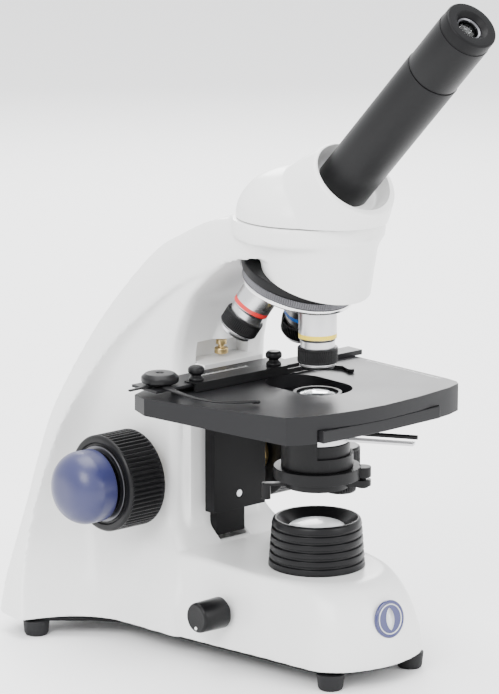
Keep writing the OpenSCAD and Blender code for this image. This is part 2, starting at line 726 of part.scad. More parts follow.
module stage_plate() {
    top = stage_z;
    color(satin_black) difference() {
        translate([0, 0, top - skirt_depth]) linear_extrude(skirt_depth) polygon(stage_plan());
        // Hollow underneath, open towards the arm
        translate([0, 0, top - skirt_depth - 1]) linear_extrude(skirt_depth - stage_t + 1)
            polygon([[-stage_half + 11, -stage_front + 17], [-stage_half + 21, -stage_front + 11],
                     [0, -stage_front + 4],
                     [stage_half - 14, -stage_front + 9], [stage_half - 4, -stage_front + 16],
                     [stage_half - 4, stage_rear + 1], [-stage_half + 2, stage_rear + 1], [-stage_half + 6, 0]]);
        // Skirt rises towards the rear
        along_x(400) polygon([[-stage_front + 12, top - skirt_depth - 1], [stage_rear + 1, top - skirt_depth - 1],
                              [stage_rear + 1, top - stage_t - 0.6], [-stage_front + 12, top - skirt_depth]]);
        // Notch in the front skirt, through which the lower plate passes
        translate([-base_half - 1, -stage_front - 5, top - skirt_depth - 1])
            cube([2 * base_half + 2, 19, skirt_depth - stage_t + 0.7]);
        linear_extrude(top + 10) stage_window();
        translate([control_x, control_y, top - 30]) cylinder(h = 25, r = 4.6);
    }
    // Tube that carries the X and Y controls
    color(satin_black) difference() {
        translate([control_x, control_y, 114]) cylinder(h = top - stage_t - 114, r = 6);
        translate([control_x, control_y, 113]) cylinder(h = 60, r = 4.6);
    }
}

module holder_guide() {
    color(satin_black) difference() {
        translate([-62, 44, stage_z]) cube([stage_half + 68, 12, guide_top - stage_z]);
        for (x = [-52, 60]) translate([x, 50, stage_z - 1]) cylinder(h = 10, r = 1.5);
    }
}

module x_carriage() {
    color("#3a3a3d") difference() {
        translate([-88, 38, guide_top + slide_gap]) cube([108, 22, carriage_t]);
        for (x = [-56, 3]) translate([x, 41, guide_top]) cylinder(h = 6, r = 1.5);
        translate([pivot_at[0], pivot_at[1], guide_top - 1]) cylinder(h = 6, r = 2.5);
    }
    color("#3a3a3d") translate([-56, 57, stage_z + slide_gap]) cube([66, 3, guide_top - stage_z + 0.1]);
}

module holder_bar() {
    color(satin_black) difference() {
        union() {
            translate([-62, bar_y - 1.6, stage_z + 0.4]) cube([100, 1.6, 2.8]);
            translate([-62, bar_y - 1.6, screw_base - 0.8]) cube([70, 10, 0.8]);
            translate([-62, bar_y - 1.6, stage_z + 0.4]) cube([70, 1.6, screw_base - stage_z - 0.4]);
            translate([0, 0, stage_z + 0.4]) linear_extrude(2) {
                rounded_bar([36, bar_y - 2], [42, 22], 2);
                rounded_bar([42, 22], [39, 14], 2);
            }
        }
        for (x = [-56, 3]) translate([x, 41, guide_top]) cylinder(h = 8, r = 1.5);
    }
}

module holder_thumbscrews() {
    color(satin_black) for (x = [-56, 3]) translate([x, 41, 0]) {
        translate([0, 0, screw_base]) rotate_extrude()
            polygon([[0, 0], [4.4, 0], [4.4, 1], [2.9, 2.6], [2.9, 3.4], [4.8, 4.6], [4.8, 7.6], [4.2, 8.3],
                     [0, 8.3]]);
        translate([0, 0, guide_top + slide_gap]) cylinder(h = 3, r = 1.5);
    }
}

// Sickle-shaped spring finger that holds the glass slide against the bar
module slide_finger() {
    z = guide_top + 2 * slide_gap + carriage_t;
    color(steel) difference() {
        translate([0, 0, z]) linear_extrude(1.4) {
            strip([[-101, 46], pivot_at], 1.6);
            translate(pivot_at) circle(7);
            strip([pivot_at, [-81, 30], [-80, 16], [-74, 4], [-66, -4], [-54, -10]], 2.2);
        }
        translate([pivot_at[0], pivot_at[1], z - 1]) cylinder(h = 4, r = 2.5 + run_gap);
    }
    color(satin_black) translate([-55, -9.5, stage_z + 1]) cylinder(h = z - stage_z - 0.5, r = 2.6);
}

module finger_cap() {
    z = guide_top + 3 * slide_gap + carriage_t + 1.4;
    color(satin_black) translate([pivot_at[0], pivot_at[1], 0]) {
        translate([0, 0, z]) rotate_extrude()
            polygon([[0, 0], [10.2, 0], [10.8, 0.8], [10.8, 3.4], [8.2, 5.6], [0, 5.6]]);
        translate([0, 0, guide_top + slide_gap]) cylinder(h = z - guide_top - slide_gap, r = 2.5);
    }
}

module y_knob() {
    color(satin_black) translate([control_x, control_y, 0]) difference() {
        union() {
            translate([0, 0, 97]) ribbed(y_knob_r, 15, 30, 0.8, 1.2);
            translate([0, 0, 112]) cylinder(h = 40, r = 4.6 - run_gap);
        }
        translate([0, 0, 90]) cylinder(h = 80, r = 2.6);
    }
}

module x_knob() {
    color(satin_black) translate([control_x, control_y, 0]) {
        translate([0, 0, 84]) ribbed(x_knob_r, 12, 24, 0.8, 1.2);
        translate([0, 0, 96]) cylinder(h = 56, r = 2.6 - run_gap);
    }
}

// ---------- condenser ----------

// Ring sector seen from above, between two angles
module sector(r, from, to) {
    polygon(concat([[0, 0]], [for (i = [0:8]) let (a = from + (to - from) * i / 8) [r * cos(a), r * sin(a)]]));
}

module condenser_sleeve() {
    color(satin_black) difference() {
        ring(sleeve_r, sleeve_in, sleeve_foot, base_sheet_z - sleeve_foot);
        translate([0, 0, groove_z - condenser_drop - 1]) linear_extrude(groove_h + condenser_drop + 2)
            sector(60, lever_angle - 75, lever_angle + 50);
    }
}

module condenser_barrel() {
    body_r = sleeve_in - run_gap;
    color(satin_black) difference() {
        union() {
            translate([0, 0, flange_z + 6.8]) cylinder(h = base_sheet_z - flange_z - 8, r = body_r);
            translate([0, 0, 130]) cylinder(h = lens_top - 1.5 - 130, r = condenser_lens_r + 2.2);
            translate([0, 0, flange_z]) cylinder(h = sleeve_foot - slide_gap - flange_z, r = 25.1);
            translate([filter_pivot[0], filter_pivot[1], flange_z]) cylinder(h = 6, r = 5);
        }
        translate([0, 0, flange_z - 1]) cylinder(h = 80, r = condenser_lens_r - 1);
        translate([0, 0, lens_top - 6]) cylinder(h = 10, r = condenser_lens_r);
        ring(30, groove_r, groove_z, groove_h);
        translate([filter_pivot[0], filter_pivot[1], flange_z - 1]) cylinder(h = 10, r = 2);
    }
    // Post and nut on which the filter holder swings
    color(satin_black) translate([filter_pivot[0], filter_pivot[1], 0]) {
        translate([0, 0, holder_z - 1]) cylinder(h = flange_z + 6 - holder_z + 1, r = 2);
        translate([0, 0, holder_z - 1.2]) cylinder(h = 1, r = 3.4);
    }
}

module condenser_lens() {
    dome = 3;
    r_curve = (condenser_lens_r * condenser_lens_r + dome * dome) / (2 * dome);
    color("lightcyan", 0.5) intersection() {
        translate([0, 0, lens_top - 6]) cylinder(h = 6, r = condenser_lens_r);
        translate([0, 0, lens_top - r_curve]) sphere(r_curve);
    }
}

module condenser_lever() {
    z = groove_z + 3.9;
    color(satin_black) {
        ring(sleeve_in - 0.4, groove_r + run_gap, z, 2.9);
        rotate(lever_angle) rod_x(sleeve_in - 2.5, lever_reach, 0, z + 1.45, 1.3);
    }
}

module iris_lever() {
    z = groove_z + 0.3;
    color(steel) {
        ring(sleeve_in - 0.4, groove_r + run_gap, z, 2.9);
        rotate(lever_angle) translate([sleeve_in - 2.5, -3, z + 0.4]) cube([lever_reach - sleeve_in + 0.5, 6, 1.4]);
    }
}

module filter_holder() {
    color(satin_black) difference() {
        union() {
            translate([0, 0, holder_z]) cylinder(h = holder_t, r = filter_r + 2.4);
            translate([0, 0, holder_z]) linear_extrude(holder_t) rounded_bar([11, -10], filter_pivot, 5);
            translate([0, 0, holder_z]) linear_extrude(1.6) rounded_bar([-12, 10.5], [-22, 19.3], 2.3);
            translate([-22, 19.3, holder_z - 8]) cylinder(h = 9.3, r = 2.7);
        }
        translate([0, 0, holder_z - 1]) cylinder(h = holder_t + 2, r = filter_r - 1.5);
        translate([0, 0, holder_z + 1]) cylinder(h = holder_t, r = filter_r + 0.2);
        translate([filter_pivot[0], filter_pivot[1], holder_z - 1]) cylinder(h = holder_t + 2, r = 2 + run_gap);
    }
}

// ---------- nosepiece and objectives ----------

module nosepiece_base() {
    color(satin_black) difference() {
        on_turret() {
            translate([0, 0, -cut_h - 6]) cylinder(h = 6, r = turret_r + 1.5);
            translate([0, 0, -cut_h - 1]) cylinder(h = 8, r = 4.5);
        }
        translate([0, 0, seat_z]) cylinder(h = 50, r = 9);
        on_turret() translate([0, 0, -cut_h - 7]) cylinder(h = 12, r = 3);
    }
}

// The nosepiece's lower face is a cone, so that each seat is square to its objective
module turret() {
    rim_h = seat_h - (turret_r - seat_ring) * tan(turret_tilt);
    mid_h = seat_h + (seat_ring - 6) * tan(turret_tilt);
    color(steel) difference() {
        on_turret() rotate_extrude()
            polygon([[0, -turret_h], [turret_r, -turret_h], [turret_r, -rim_h], [6, -mid_h], [0, -mid_h]]);
        for (i = [0:2]) on_seat(i) translate([0, 0, -1]) cylinder(h = 30, r = objective_thread_r);
        on_turret() translate([0, 0, -mid_h - 1]) cylinder(h = 40, r = 3 + run_gap);
    }
}

module turret_screw() {
    mid_h = seat_h + (seat_ring - 6) * tan(turret_tilt);
    color(steel) on_turret() {
        translate([0, 0, -mid_h - 1]) cylinder(h = mid_h - cut_h + 5, r = 3);
        translate([0, 0, -mid_h - 2]) cylinder(h = 1.85, r = 4.6);
    }
}

// One objective: thread, barrel, neck and nose; the grip and the lens are pieces of their own
module objective(i) {
    l = objective_lengths[i];
    r = barrel_r;
    on_seat(i) difference() {
        rotate_extrude() polygon([[0, 4], [objective_thread_r, 4], [objective_thread_r, 0], [r, 0],
            [r, -l + 17.5], [r - 1, -l + 16.5], [r - 1, -l + 2.6], [r - 0.4, -l + 2.2], [r - 1.6, -l], [0, -l]]);
        translate([0, 0, -l - 1]) cylinder(h = l + 6, r = 4);
    }
}

module objective_10x() { color("silver") objective(0); }
module objective_4x() { color("silver") objective(1); }
module objective_40x() { color("silver") objective(2); }

module objective_grips() {
    color(satin_black) for (i = [0:2]) on_seat(i) translate([0, 0, -objective_lengths[i] + 3.4]) difference() {
        ribbed(barrel_r + 0.6, 9, 30, 0.5, 1);
        translate([0, 0, -1]) cylinder(h = 11, r = barrel_r - 1);
    }
}

module objective_lenses() {
    color("lightcyan", 0.5) for (i = [0:2]) on_seat(i)
        translate([0, 0, -objective_lengths[i] + 0.4]) cylinder(h = 2, r = 4);
}

// ---------- head ----------

module head_ring() {
    color(steel) difference() {
        ring(head_ring_r, flange_r + run_gap, ring_z, arm_top - ring_z);
        rod_x(flange_r - 2, 60, 0, ring_z + 3, head_screw_r);
    }
}
flange_r = 28;
head_screw_r = 1.6;

module head_flange() {
    color(steel) ring(flange_r, 16, ring_z + slide_gap, arm_top + 0.4 - ring_z - slide_gap);
}

// Rounded casting with a collar round the foot of the viewing tube
module head_casting() {
    rise = 28;
    color(paint) difference() {
        union() {
            translate([0, head_y, arm_top + 0.4]) rotate_extrude()
                polygon(concat([[0, 0], [head_r - 0.6, 0]],
                    [for (a = [0:9:90]) [head_r * pow(cos(a), 0.82), 2 + rise * pow(sin(a), 1.12)]]));
            intersection() {
                on_tube(0) translate([0, -3.5, 0]) cylinder(h = collar_t, r1 = head_r - 5, r2 = tube_r + 9.6);
                translate([0, 0, arm_top + 0.4 + 50]) cube([200, 200, 100], center = true);
            }
        }
        on_tube(socket_t) cylinder(h = 60, r = tube_r + run_gap);
        on_tube(collar_t - 9) translate([0, -2.2, 0]) cylinder(h = 9.01, r1 = tube_r + 2.4, r2 = tube_r + 5.6);
        on_tube(0) cylinder(h = 60, r = 9);
        translate([0, 0, arm_top - 1]) cylinder(h = 8, r = 14);
        translate([-prism_s / 2 - 0.3, -prism_s / 2 - 0.3, arm_top - 5])
            cube([prism_s + 0.6, prism_s + 0.6, prism_z + prism_s / 2 + 5.3 - arm_top]);
    }
}
socket_t = 21;
prism_s = 17;

module head_screw() {
    color(steel) rod_x(flange_r + 0.3, head_ring_r + 9, 0, ring_z + 3, head_screw_r);
}

module prism() {
    color("lightcyan", 0.5) translate([0, 0, prism_z]) difference() {
        cube(prism_s, center = true);
        translate([0, prism_s / 2 + 3, prism_s / 2 + 3]) rotate([45, 0, 0])
            cube([prism_s + 2, prism_s, prism_s], center = true);
    }
}

module eyepiece_tube() {
    color(satin_black) on_tube(0) difference() {
        translate([0, 0, socket_t]) cylinder(h = tube_end - socket_t, r = tube_r);
        translate([0, 0, socket_t - 1]) cylinder(h = tube_end, r = eyepiece_barrel_r + run_gap);
    }
}

module eyepiece_body() {
    color(satin_black) on_tube(tube_end) difference() {
        union() {
            translate([0, 0, 0.2]) cylinder(h = eyepiece_len - 8.2, r = tube_r - 0.4);
            translate([0, 0, -eyepiece_insert]) cylinder(h = eyepiece_insert + 1, r = eyepiece_barrel_r);
        }
        translate([0, 0, -eyepiece_insert - 1])
            cylinder(h = eyepiece_len + eyepiece_insert, r = eyepiece_barrel_r - 1.4);
    }
}
eyepiece_insert = 35;

module eyepiece_cap() {
    color(satin_black) on_tube(tube_end + eyepiece_len - 8) difference() {
        rotate_extrude() polygon([[0, 0], [tube_r - 0.7, 0], [tube_r - 0.7, 7], [tube_r - 1.7, 8], [0, 8]]);
        translate([0, 0, -1]) cylinder(h = 10, r = 6);
        translate([0, 0, 3.5]) cylinder(h = 4.51, r1 = 6, r2 = 9.6);
    }
}

module eyepiece_lenses() {
    color("lightcyan", 0.5) {
        on_tube(tube_end + eyepiece_len - 8) translate([0, 0, 0.4]) cylinder(h = 3, r = 6);
        on_tube(tube_end - eyepiece_insert + 2) cylinder(h = 3, r = eyepiece_barrel_r - 1.4);
    }
}

stand();
base_plate();
feet();
foot_screws();
front_badge();
lamp_housing();
collector_lens();
led_module();
driver_board();
dc_inlet();
dimmer_pot();
dimmer_shaft();
dimmer_knob();
guide_rails();
shaft_bushes();
stop_screw();
pinion_shaft();
coarse_knobs();
fine_shaft();
fine_knobs();
focus_slide();
focus_rack();
focus_block();
stage_bracket();
bracket_screw();
stage_base();
stage_plate();
holder_guide();
x_carriage();
holder_bar();
holder_thumbscrews();
slide_finger();
finger_cap();
y_knob();
x_knob();
condenser_sleeve();
condenser_barrel();
condenser_lens();
condenser_lever();
iris_lever();
filter_holder();
nosepiece_base();
turret();
turret_screw();
objective_4x();
objective_10x();
objective_40x();
objective_grips();
objective_lenses();
head_ring();
head_flange();
head_casting();
head_screw();
prism();
eyepiece_tube();
eyepiece_body();
eyepiece_cap();
eyepiece_lenses();
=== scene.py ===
"""Upright student microscope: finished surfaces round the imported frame, in the order of assembly."""

import bpy
import numpy as np
from mathutils import Matrix, Vector


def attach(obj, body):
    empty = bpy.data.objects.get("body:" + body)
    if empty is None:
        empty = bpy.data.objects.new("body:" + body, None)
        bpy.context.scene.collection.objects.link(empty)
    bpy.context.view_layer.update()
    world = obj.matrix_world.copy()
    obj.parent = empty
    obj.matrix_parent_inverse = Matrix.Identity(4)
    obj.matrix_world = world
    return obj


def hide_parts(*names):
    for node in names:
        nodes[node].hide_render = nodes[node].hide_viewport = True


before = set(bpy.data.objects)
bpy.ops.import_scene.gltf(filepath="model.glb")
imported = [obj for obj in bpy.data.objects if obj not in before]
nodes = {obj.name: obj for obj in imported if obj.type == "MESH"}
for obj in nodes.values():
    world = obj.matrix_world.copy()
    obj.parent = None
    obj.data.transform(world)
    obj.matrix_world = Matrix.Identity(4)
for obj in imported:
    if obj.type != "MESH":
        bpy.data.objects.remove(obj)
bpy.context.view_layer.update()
MM = 0.001


# ---- Studio ----
# A pale sweep of card under soft lamps. The camera stands in front and to the left,
# a little above the stage, far enough back that the upright lines stay nearly parallel.

camera_data = bpy.data.cameras.new("camera")
camera_data.sensor_fit = "HORIZONTAL"
camera_data.sensor_width = 36.0
camera_data.lens = 258.57
camera_data.clip_end = 50.0
camera = bpy.data.objects.new("camera", camera_data)
camera.location = (-1.3428, -1.4706, 0.6399)
camera.rotation_euler = np.radians((77.157, 0.0, -41.282))
bpy.context.collection.objects.link(camera)
bpy.context.scene.camera = camera


def soft_lamp(name, place, aim, size, power, tint=(1.0, 1.0, 1.0)):
    """A square area lamp at place that faces aim; all in metres."""
    data = bpy.data.lights.new(name, "AREA")
    data.size = size
    data.energy = power
    data.color = tint
    lamp = bpy.data.objects.new(name, data)
    lamp.location = place
    lamp.rotation_euler = (Vector(aim) - Vector(place)).to_track_quat("-Z", "Y").to_euler()
    bpy.context.collection.objects.link(lamp)


soft_lamp("lamp_left", (-1.5, -0.6, 1.3), (0, 0, 0.2), 0.9, 34)
soft_lamp("lamp_front", (0.6, -1.9, 1.0), (0, 0, 0.2), 1.0, 20)
soft_lamp("lamp_top", (0.1, 0.3, 1.9), (0, 0, 0.2), 1.3, 46)
soft_lamp("lamp_back", (1.1, 1.4, 1.0), (0, 0, 0.25), 0.8, 24)

world = bpy.data.worlds.new("studio")
world.use_nodes = True
world.node_tree.nodes["Background"].inputs["Color"].default_value = (0.97, 0.975, 0.985, 1)
world.node_tree.nodes["Background"].inputs["Strength"].default_value = 2.2
bpy.context.scene.world = world


def material(name):
    """An empty node material: (material, its Principled shader, its node tree)."""
    m = bpy.data.materials.new(name)
    m.use_nodes = True
    return m, m.node_tree.nodes["Principled BSDF"], m.node_tree


card, card_shader, _ = material("pale_card")
card_shader.inputs["Base Color"].default_value = (0.90, 0.90, 0.90, 1)
card_shader.inputs["Roughness"].default_value = 0.75
floor_mesh = bpy.data.meshes.new("floor")
floor_mesh.from_pydata([(-6, -6, 0), (6, -6, 0), (6, 6, 0), (-6, 6, 0)], [], [(0, 1, 2, 3)])
floor_mesh.materials.append(card)
floor = bpy.data.objects.new("floor", floor_mesh)
bpy.context.collection.objects.link(floor)


# ---- Finishes ----
# Each finish reads a shared group for its fine grain, and sets its own colour, gloss and relief.
# The grain is a fine noise over a slow one, as on sprayed, moulded or turned surfaces.


def grain_group():
    """Fine grain: mixes Dark and Light by a slow noise, gives a Height of fine noise, and varies the
    Roughness between its two Gloss values by the slow noise."""
    g = bpy.data.node_groups.new("fine_grain", "ShaderNodeTree")
    inputs = (("Light", "NodeSocketColor", (1, 1, 1, 1)), ("Dark", "NodeSocketColor", (0, 0, 0, 1)),
              ("Fine", "NodeSocketFloat", 900.0), ("Slow", "NodeSocketFloat", 18.0),
              ("Gloss low", "NodeSocketFloat", 0.3), ("Gloss high", "NodeSocketFloat", 0.4))
    for label, kind, value in inputs:
        g.interface.new_socket(label, in_out="INPUT", socket_type=kind).default_value = value
    g.interface.new_socket("Color", in_out="OUTPUT", socket_type="NodeSocketColor")
    g.interface.new_socket("Roughness", in_out="OUTPUT", socket_type="NodeSocketFloat")
    g.interface.new_socket("Height", in_out="OUTPUT", socket_type="NodeSocketFloat")
    new = g.nodes.new
    link = g.links.new
    gin, gout = new("NodeGroupInput"), new("NodeGroupOutput")
    where = new("ShaderNodeTexCoord")
    fine, slow = new("ShaderNodeTexNoise"), new("ShaderNodeTexNoise")
    fine.inputs["Detail"].default_value = 3
    slow.inputs["Detail"].default_value = 4
    link(where.outputs["Object"], fine.inputs["Vector"])
    link(where.outputs["Object"], slow.inputs["Vector"])
    link(gin.outputs["Fine"], fine.inputs["Scale"])
    link(gin.outputs["Slow"], slow.inputs["Scale"])
    mix = new("ShaderNodeMix")
    mix.data_type = "RGBA"
    link(slow.outputs["Fac"], mix.inputs["Factor"])
    link(gin.outputs["Dark"], mix.inputs["A"])
    link(gin.outputs["Light"], mix.inputs["B"])
    gloss = new("ShaderNodeMapRange")
    link(slow.outputs["Fac"], gloss.inputs["Value"])
    gloss.inputs["From Min"].default_value = 0.3
    gloss.inputs["From Max"].default_value = 0.7
    link(gin.outputs["Gloss low"], gloss.inputs["To Min"])
    link(gin.outputs["Gloss high"], gloss.inputs["To Max"])
    link(mix.outputs["Result"], gout.inputs["Color"])
    link(gloss.outputs["Result"], gout.inputs["Roughness"])
    link(fine.outputs["Fac"], gout.inputs["Height"])
    return g


GRAIN = grain_group()


def finish(name, light, dark, gloss, fine, relief, metallic=0.0, coat=0.0, coat_gloss=0.1, specular=0.5):
    """A grained finish. light and dark are its two tints, gloss its roughness range, fine the grain's
    frequency per metre, relief the grain's depth in metres."""
    m, shader, tree = material(name)
    grain = tree.nodes.new("ShaderNodeGroup")
    grain.node_tree = GRAIN
    for label, value in (("Light", (*light, 1)), ("Dark", (*dark, 1)), ("Fine", fine),
                         ("Gloss low", gloss[0]), ("Gloss high", gloss[1])):
        grain.inputs[label].default_value = value
    bump = tree.nodes.new("ShaderNodeBump")
    bump.inputs["Distance"].default_value = relief
    tree.links.new(grain.outputs["Color"], shader.inputs["Base Color"])
    tree.links.new(grain.outputs["Roughness"], shader.inputs["Roughness"])
    tree.links.new(grain.outputs["Height"], bump.inputs["Height"])
    tree.links.new(bump.outputs["Normal"], shader.inputs["Normal"])
    shader.inputs["Metallic"].default_value = metallic
    shader.inputs["Coat Weight"].default_value = coat
    shader.inputs["Coat Roughness"].default_value = coat_gloss
    shader.inputs["Specular IOR Level"].default_value = specular
    return m


def glass(name, tint):
    """Clear optical glass with a faint coating tint and a slight unevenness of polish."""
    m, shader, tree = material(name)
    noise = tree.nodes.new("ShaderNodeTexNoise")
    where = tree.nodes.new("ShaderNodeTexCoord")
    ramp = tree.nodes.new("ShaderNodeMapRange")
    noise.inputs["Scale"].default_value = 120.0
    ramp.inputs["To Min"].default_value = 0.01
    ramp.inputs["To Max"].default_value = 0.05
    tree.links.new(where.outputs["Object"], noise.inputs["Vector"])
    tree.links.new(noise.outputs["Fac"], ramp.inputs["Value"])
    tree.links.new(ramp.outputs["Result"], shader.inputs["Roughness"])
    shader.inputs["Base Color"].default_value = (*tint, 1)
    shader.inputs["Transmission Weight"].default_value = 1.0
    shader.inputs["IOR"].default_value = 1.5
    return m


cast_paint = finish("cast_paint", (0.80, 0.80, 0.79), (0.74, 0.745, 0.74), (0.30, 0.38), 420, 0.00006,
                    coat=0.25, coat_gloss=0.18)
black_paint = finish("black_paint", (0.007, 0.007, 0.0075), (0.004, 0.004, 0.0045), (0.34, 0.44), 1500,
                     0.00005, specular=0.16)
black_matte = finish("black_matte", (0.006, 0.006, 0.0065), (0.003, 0.003, 0.0035), (0.42, 0.52), 2200,
                     0.00004, specular=0.12)
black_plastic = finish("black_plastic", (0.006, 0.006, 0.0065), (0.003, 0.003, 0.0035), (0.28, 0.38),
                       1200, 0.00004, specular=0.18)
machined_steel = finish("machined_steel", (0.62, 0.62, 0.63), (0.50, 0.50, 0.51), (0.28, 0.38), 2600,
                        0.00002, metallic=1.0)
dark_steel = finish("dark_steel", (0.16, 0.16, 0.17), (0.10, 0.10, 0.11), (0.30, 0.42), 2200, 0.00002,
                    metallic=1.0)
foot_rubber = finish("foot_rubber", (0.010, 0.010, 0.011), (0.006, 0.006, 0.007), (0.55, 0.68), 1800,
                     0.00008, specular=0.25)
turned_brass = finish("turned_brass", (0.66, 0.50, 0.24), (0.55, 0.40, 0.18), (0.26, 0.36), 2000, 0.00002,
                      metallic=1.0)
blue_plastic = finish("blue_plastic", (0.024, 0.027, 0.088), (0.018, 0.020, 0.070), (0.30, 0.40), 900,
                      0.00003, coat=0.15, coat_gloss=0.25, specular=0.4)
board_lacquer = finish("board_lacquer", (0.020, 0.17, 0.07), (0.012, 0.11, 0.05), (0.3, 0.4), 700,
                       0.00004)
light_alloy = finish("light_alloy", (0.66, 0.67, 0.68), (0.56, 0.57, 0.58), (0.32, 0.42), 2400, 0.00002,
                     metallic=1.0)
lens_glass = glass("lens_glass", (0.93, 0.97, 0.98))


# ---- Stand ----
# One hollow casting in off-white stoving enamel: base, C-shaped arm and the nose over the nosepiece.
# The arm's flat cheeks run back into a spine that flares out to the rear toes. Its mating faces are
# machined.


def through(points, t):
    """A smooth curve through rows of numbers, read at t from 0 (first row) to 1 (last row): cubic Hermite
    with slopes from the neighbouring rows."""
    p = np.asarray(points, float)
    last = len(p) - 1
    s = np.clip(np.asarray(t, float) * last, 0, last)
    i = np.minimum(s.astype(int), last - 1)
    f = (s - i)[..., None]
    slope = np.gradient(p, axis=0)
    a, b, ma, mb = p[i], p[i + 1], slope[i], slope[i + 1]
    return ((2 * f**3 - 3 * f**2 + 1) * a + (f**3 - 2 * f**2 + f) * ma
            + (-2 * f**3 + 3 * f**2) * b + (f**3 - f**2) * mb)


def surface(name, grid, paint, ring=False, smooth=True):
    """A closed mesh from a grid of points in mm: rows go along, columns go round. ring joins the last row
    to the first; otherwise an end row is closed by a face, or meets in one point where its points are
    the same."""
    rows, cols = grid.shape[:2]
    index = np.arange(rows * cols).reshape(rows, cols)
    single = np.ptp(grid, axis=1).max(axis=1) < 1e-6
    index[single] = index[single, :1]
    below = index if ring else index[:-1]
    above = np.roll(index, -1, axis=0) if ring else index[1:]
    corners = [below, np.roll(below, -1, axis=1), np.roll(above, -1, axis=1), above]
    quads = np.stack(corners, -1).reshape(-1, 4)
    faces = [list(dict.fromkeys(quad)) for quad in quads.tolist()]
    faces = [face for face in faces if len(face) > 2]
    if not ring and not single[0]:
        faces.append(index[0].tolist()[::-1])
    if not ring and not single[-1]:
        faces.append(index[-1].tolist())
    used, flat = np.unique(np.concatenate(faces), return_inverse=True)
    ends = np.cumsum([len(face) for face in faces])[:-1]
    mesh = bpy.data.meshes.new(name)
    mesh.from_pydata((grid.reshape(-1, 3)[used] * MM).tolist(), [],
                     [f.tolist() for f in np.split(flat, ends)])
    if volume(mesh) < 0:
        mesh.flip_normals()
    if smooth:
        mesh.shade_smooth()
        mesh.set_sharp_from_angle(angle=np.radians(50))
    mesh.materials.append(paint)
    piece = bpy.data.objects.new(name, mesh)
    bpy.context.collection.objects.link(piece)
    return piece


def volume(mesh):
    """Signed volume: the sum over triangles of the triple product of their corners, over six."""
    mesh.calc_loop_triangles()
    co = np.empty(len(mesh.vertices) * 3)
    mesh.vertices.foreach_get("co", co)
    tri = np.empty(len(mesh.loop_triangles) * 3, int)
    mesh.loop_triangles.foreach_get("vertices", tri)
    a, b, c = (co.reshape(-1, 3)[tri.reshape(-1, 3)[:, k]] for k in range(3))
    return float(np.einsum("ij,ij->i", a, np.cross(b, c)).sum() / 6)


def merged(name, pieces, paint):
    """Joins pieces into one object."""
    verts, faces, start = [], [], 0
    for piece in pieces:
        data = piece.data
        co = np.empty(len(data.vertices) * 3)
        data.vertices.foreach_get("co", co)
        verts.append(co.reshape(-1, 3))
        faces += [[start + v for v in p.vertices] for p in data.polygons]
        start += len(data.vertices)
        bpy.data.objects.remove(piece)
    mesh = bpy.data.meshes.new(name)
    mesh.from_pydata(np.vstack(verts).tolist(), [], faces)
    mesh.shade_smooth()
    mesh.materials.append(paint)
    piece = bpy.data.objects.new(name, mesh)
    bpy.context.collection.objects.link(piece)
    return piece


def applied(piece):
    """Bakes a piece's modifiers into its mesh."""
    graph = bpy.context.evaluated_depsgraph_get()
    graph.update()
    mesh = bpy.data.meshes.new_from_object(piece.evaluated_get(graph))
    piece.modifiers.clear()
    old = piece.data
    piece.data = mesh
    bpy.data.meshes.remove(old)
    return piece


def revolved(name, profile, paint, centre=(0, 0, 0), axis=(0, 0, 1), steps=96, swell=None):
    """A surface of revolution: profile rows are (radius, height) along axis from centre, in mm, from one
    pole or rim to the other; a closed profile ends where it starts. swell(angle, height) scales the
    radius."""
    p = np.asarray(profile, float)
    ang = np.linspace(0, 2 * np.pi, steps, endpoint=False)
    radius = np.repeat(p[:, :1], steps, 1)
    height = np.repeat(p[:, 1:2], steps, 1)
    if swell is not None:
        radius = radius * swell(ang[None, :], height)
    local = np.stack([radius * np.cos(ang), radius * np.sin(ang), height], -1)
    turn = np.array(Vector((0, 0, 1)).rotation_difference(Vector(axis)).to_matrix())
    grid = local @ turn.T + np.asarray(centre, float)
    ring = np.allclose(p[0], p[-1])
    return surface(name, grid[:-1] if ring else grid, paint, ring)


def eased(corners, radius=0.5, steps=4, closed=False):
    """Rounds the corners of a row of (radius, height) points: each corner becomes a quadratic curve that
    starts and ends radius away along its two sides (less on short sides). A third number is a corner's
    own radius."""
    raw = [tuple(c) for c in corners]
    pts = np.array([c[:2] for c in raw], float)
    own = [c[2] if len(c) > 2 else radius for c in raw]
    count = len(pts)
    out = []
    for k in range(count):
        if not closed and k in (0, count - 1):
            out.append(pts[k])
            continue
        a, b, c = pts[k - 1], pts[k], pts[(k + 1) % count]
        la, lc = np.linalg.norm(a - b), np.linalg.norm(c - b)
        d = min(own[k], 0.45 * la, 0.45 * lc)
        if d < 0.02:
            out.append(b)
            continue
        p, q = b + (a - b) / la * d, b + (c - b) / lc * d
        for t in np.linspace(0, 1, steps + 1):
            out.append((1 - t) ** 2 * p + 2 * t * (1 - t) * b + t**2 * q)
    if closed:
        out.append(out[0])
    return np.array(out)


# Rails of the arm, from the base up the column and over to the optical axis; rows are (x, y, z).
arm_front = [(58, 56, 11), (54.5, 60, 31), (46, 66, 52), (38, 84.5, 70), (36.5, 87, 90), (36, 86, 121),
             (36, 85, 150), (35.6, 83, 177), (35.2, 73, 204), (35, 58, 220), (34.8, 44, 230),
             (34.6, 30, 238), (34.2, 4, 240)]
arm_cheek = [(62.9, 106, 11), (55, 124, 31), (49, 138, 54), (45, 142.5, 74), (44, 143.2, 95),
             (42.8, 140.5, 121), (41, 130, 148), (39.6, 118.5, 171), (38, 98, 192), (36.6, 78, 212),
             (35.6, 60, 223),
             (35, 44, 231), (34.4, 8, 241)]
arm_flare = [(106, 142, 11), (98.5, 151, 30), (87.5, 159.5, 54), (78.5, 163, 75), (71.3, 162.3, 95),
             (63.5, 156.8, 121), (55.8, 143.5, 148), (49.8, 127, 172), (44.8, 107, 192), (40, 82, 212),
             (37.6, 63, 222.5), (36, 46, 231), (34.6, 8, 242)]
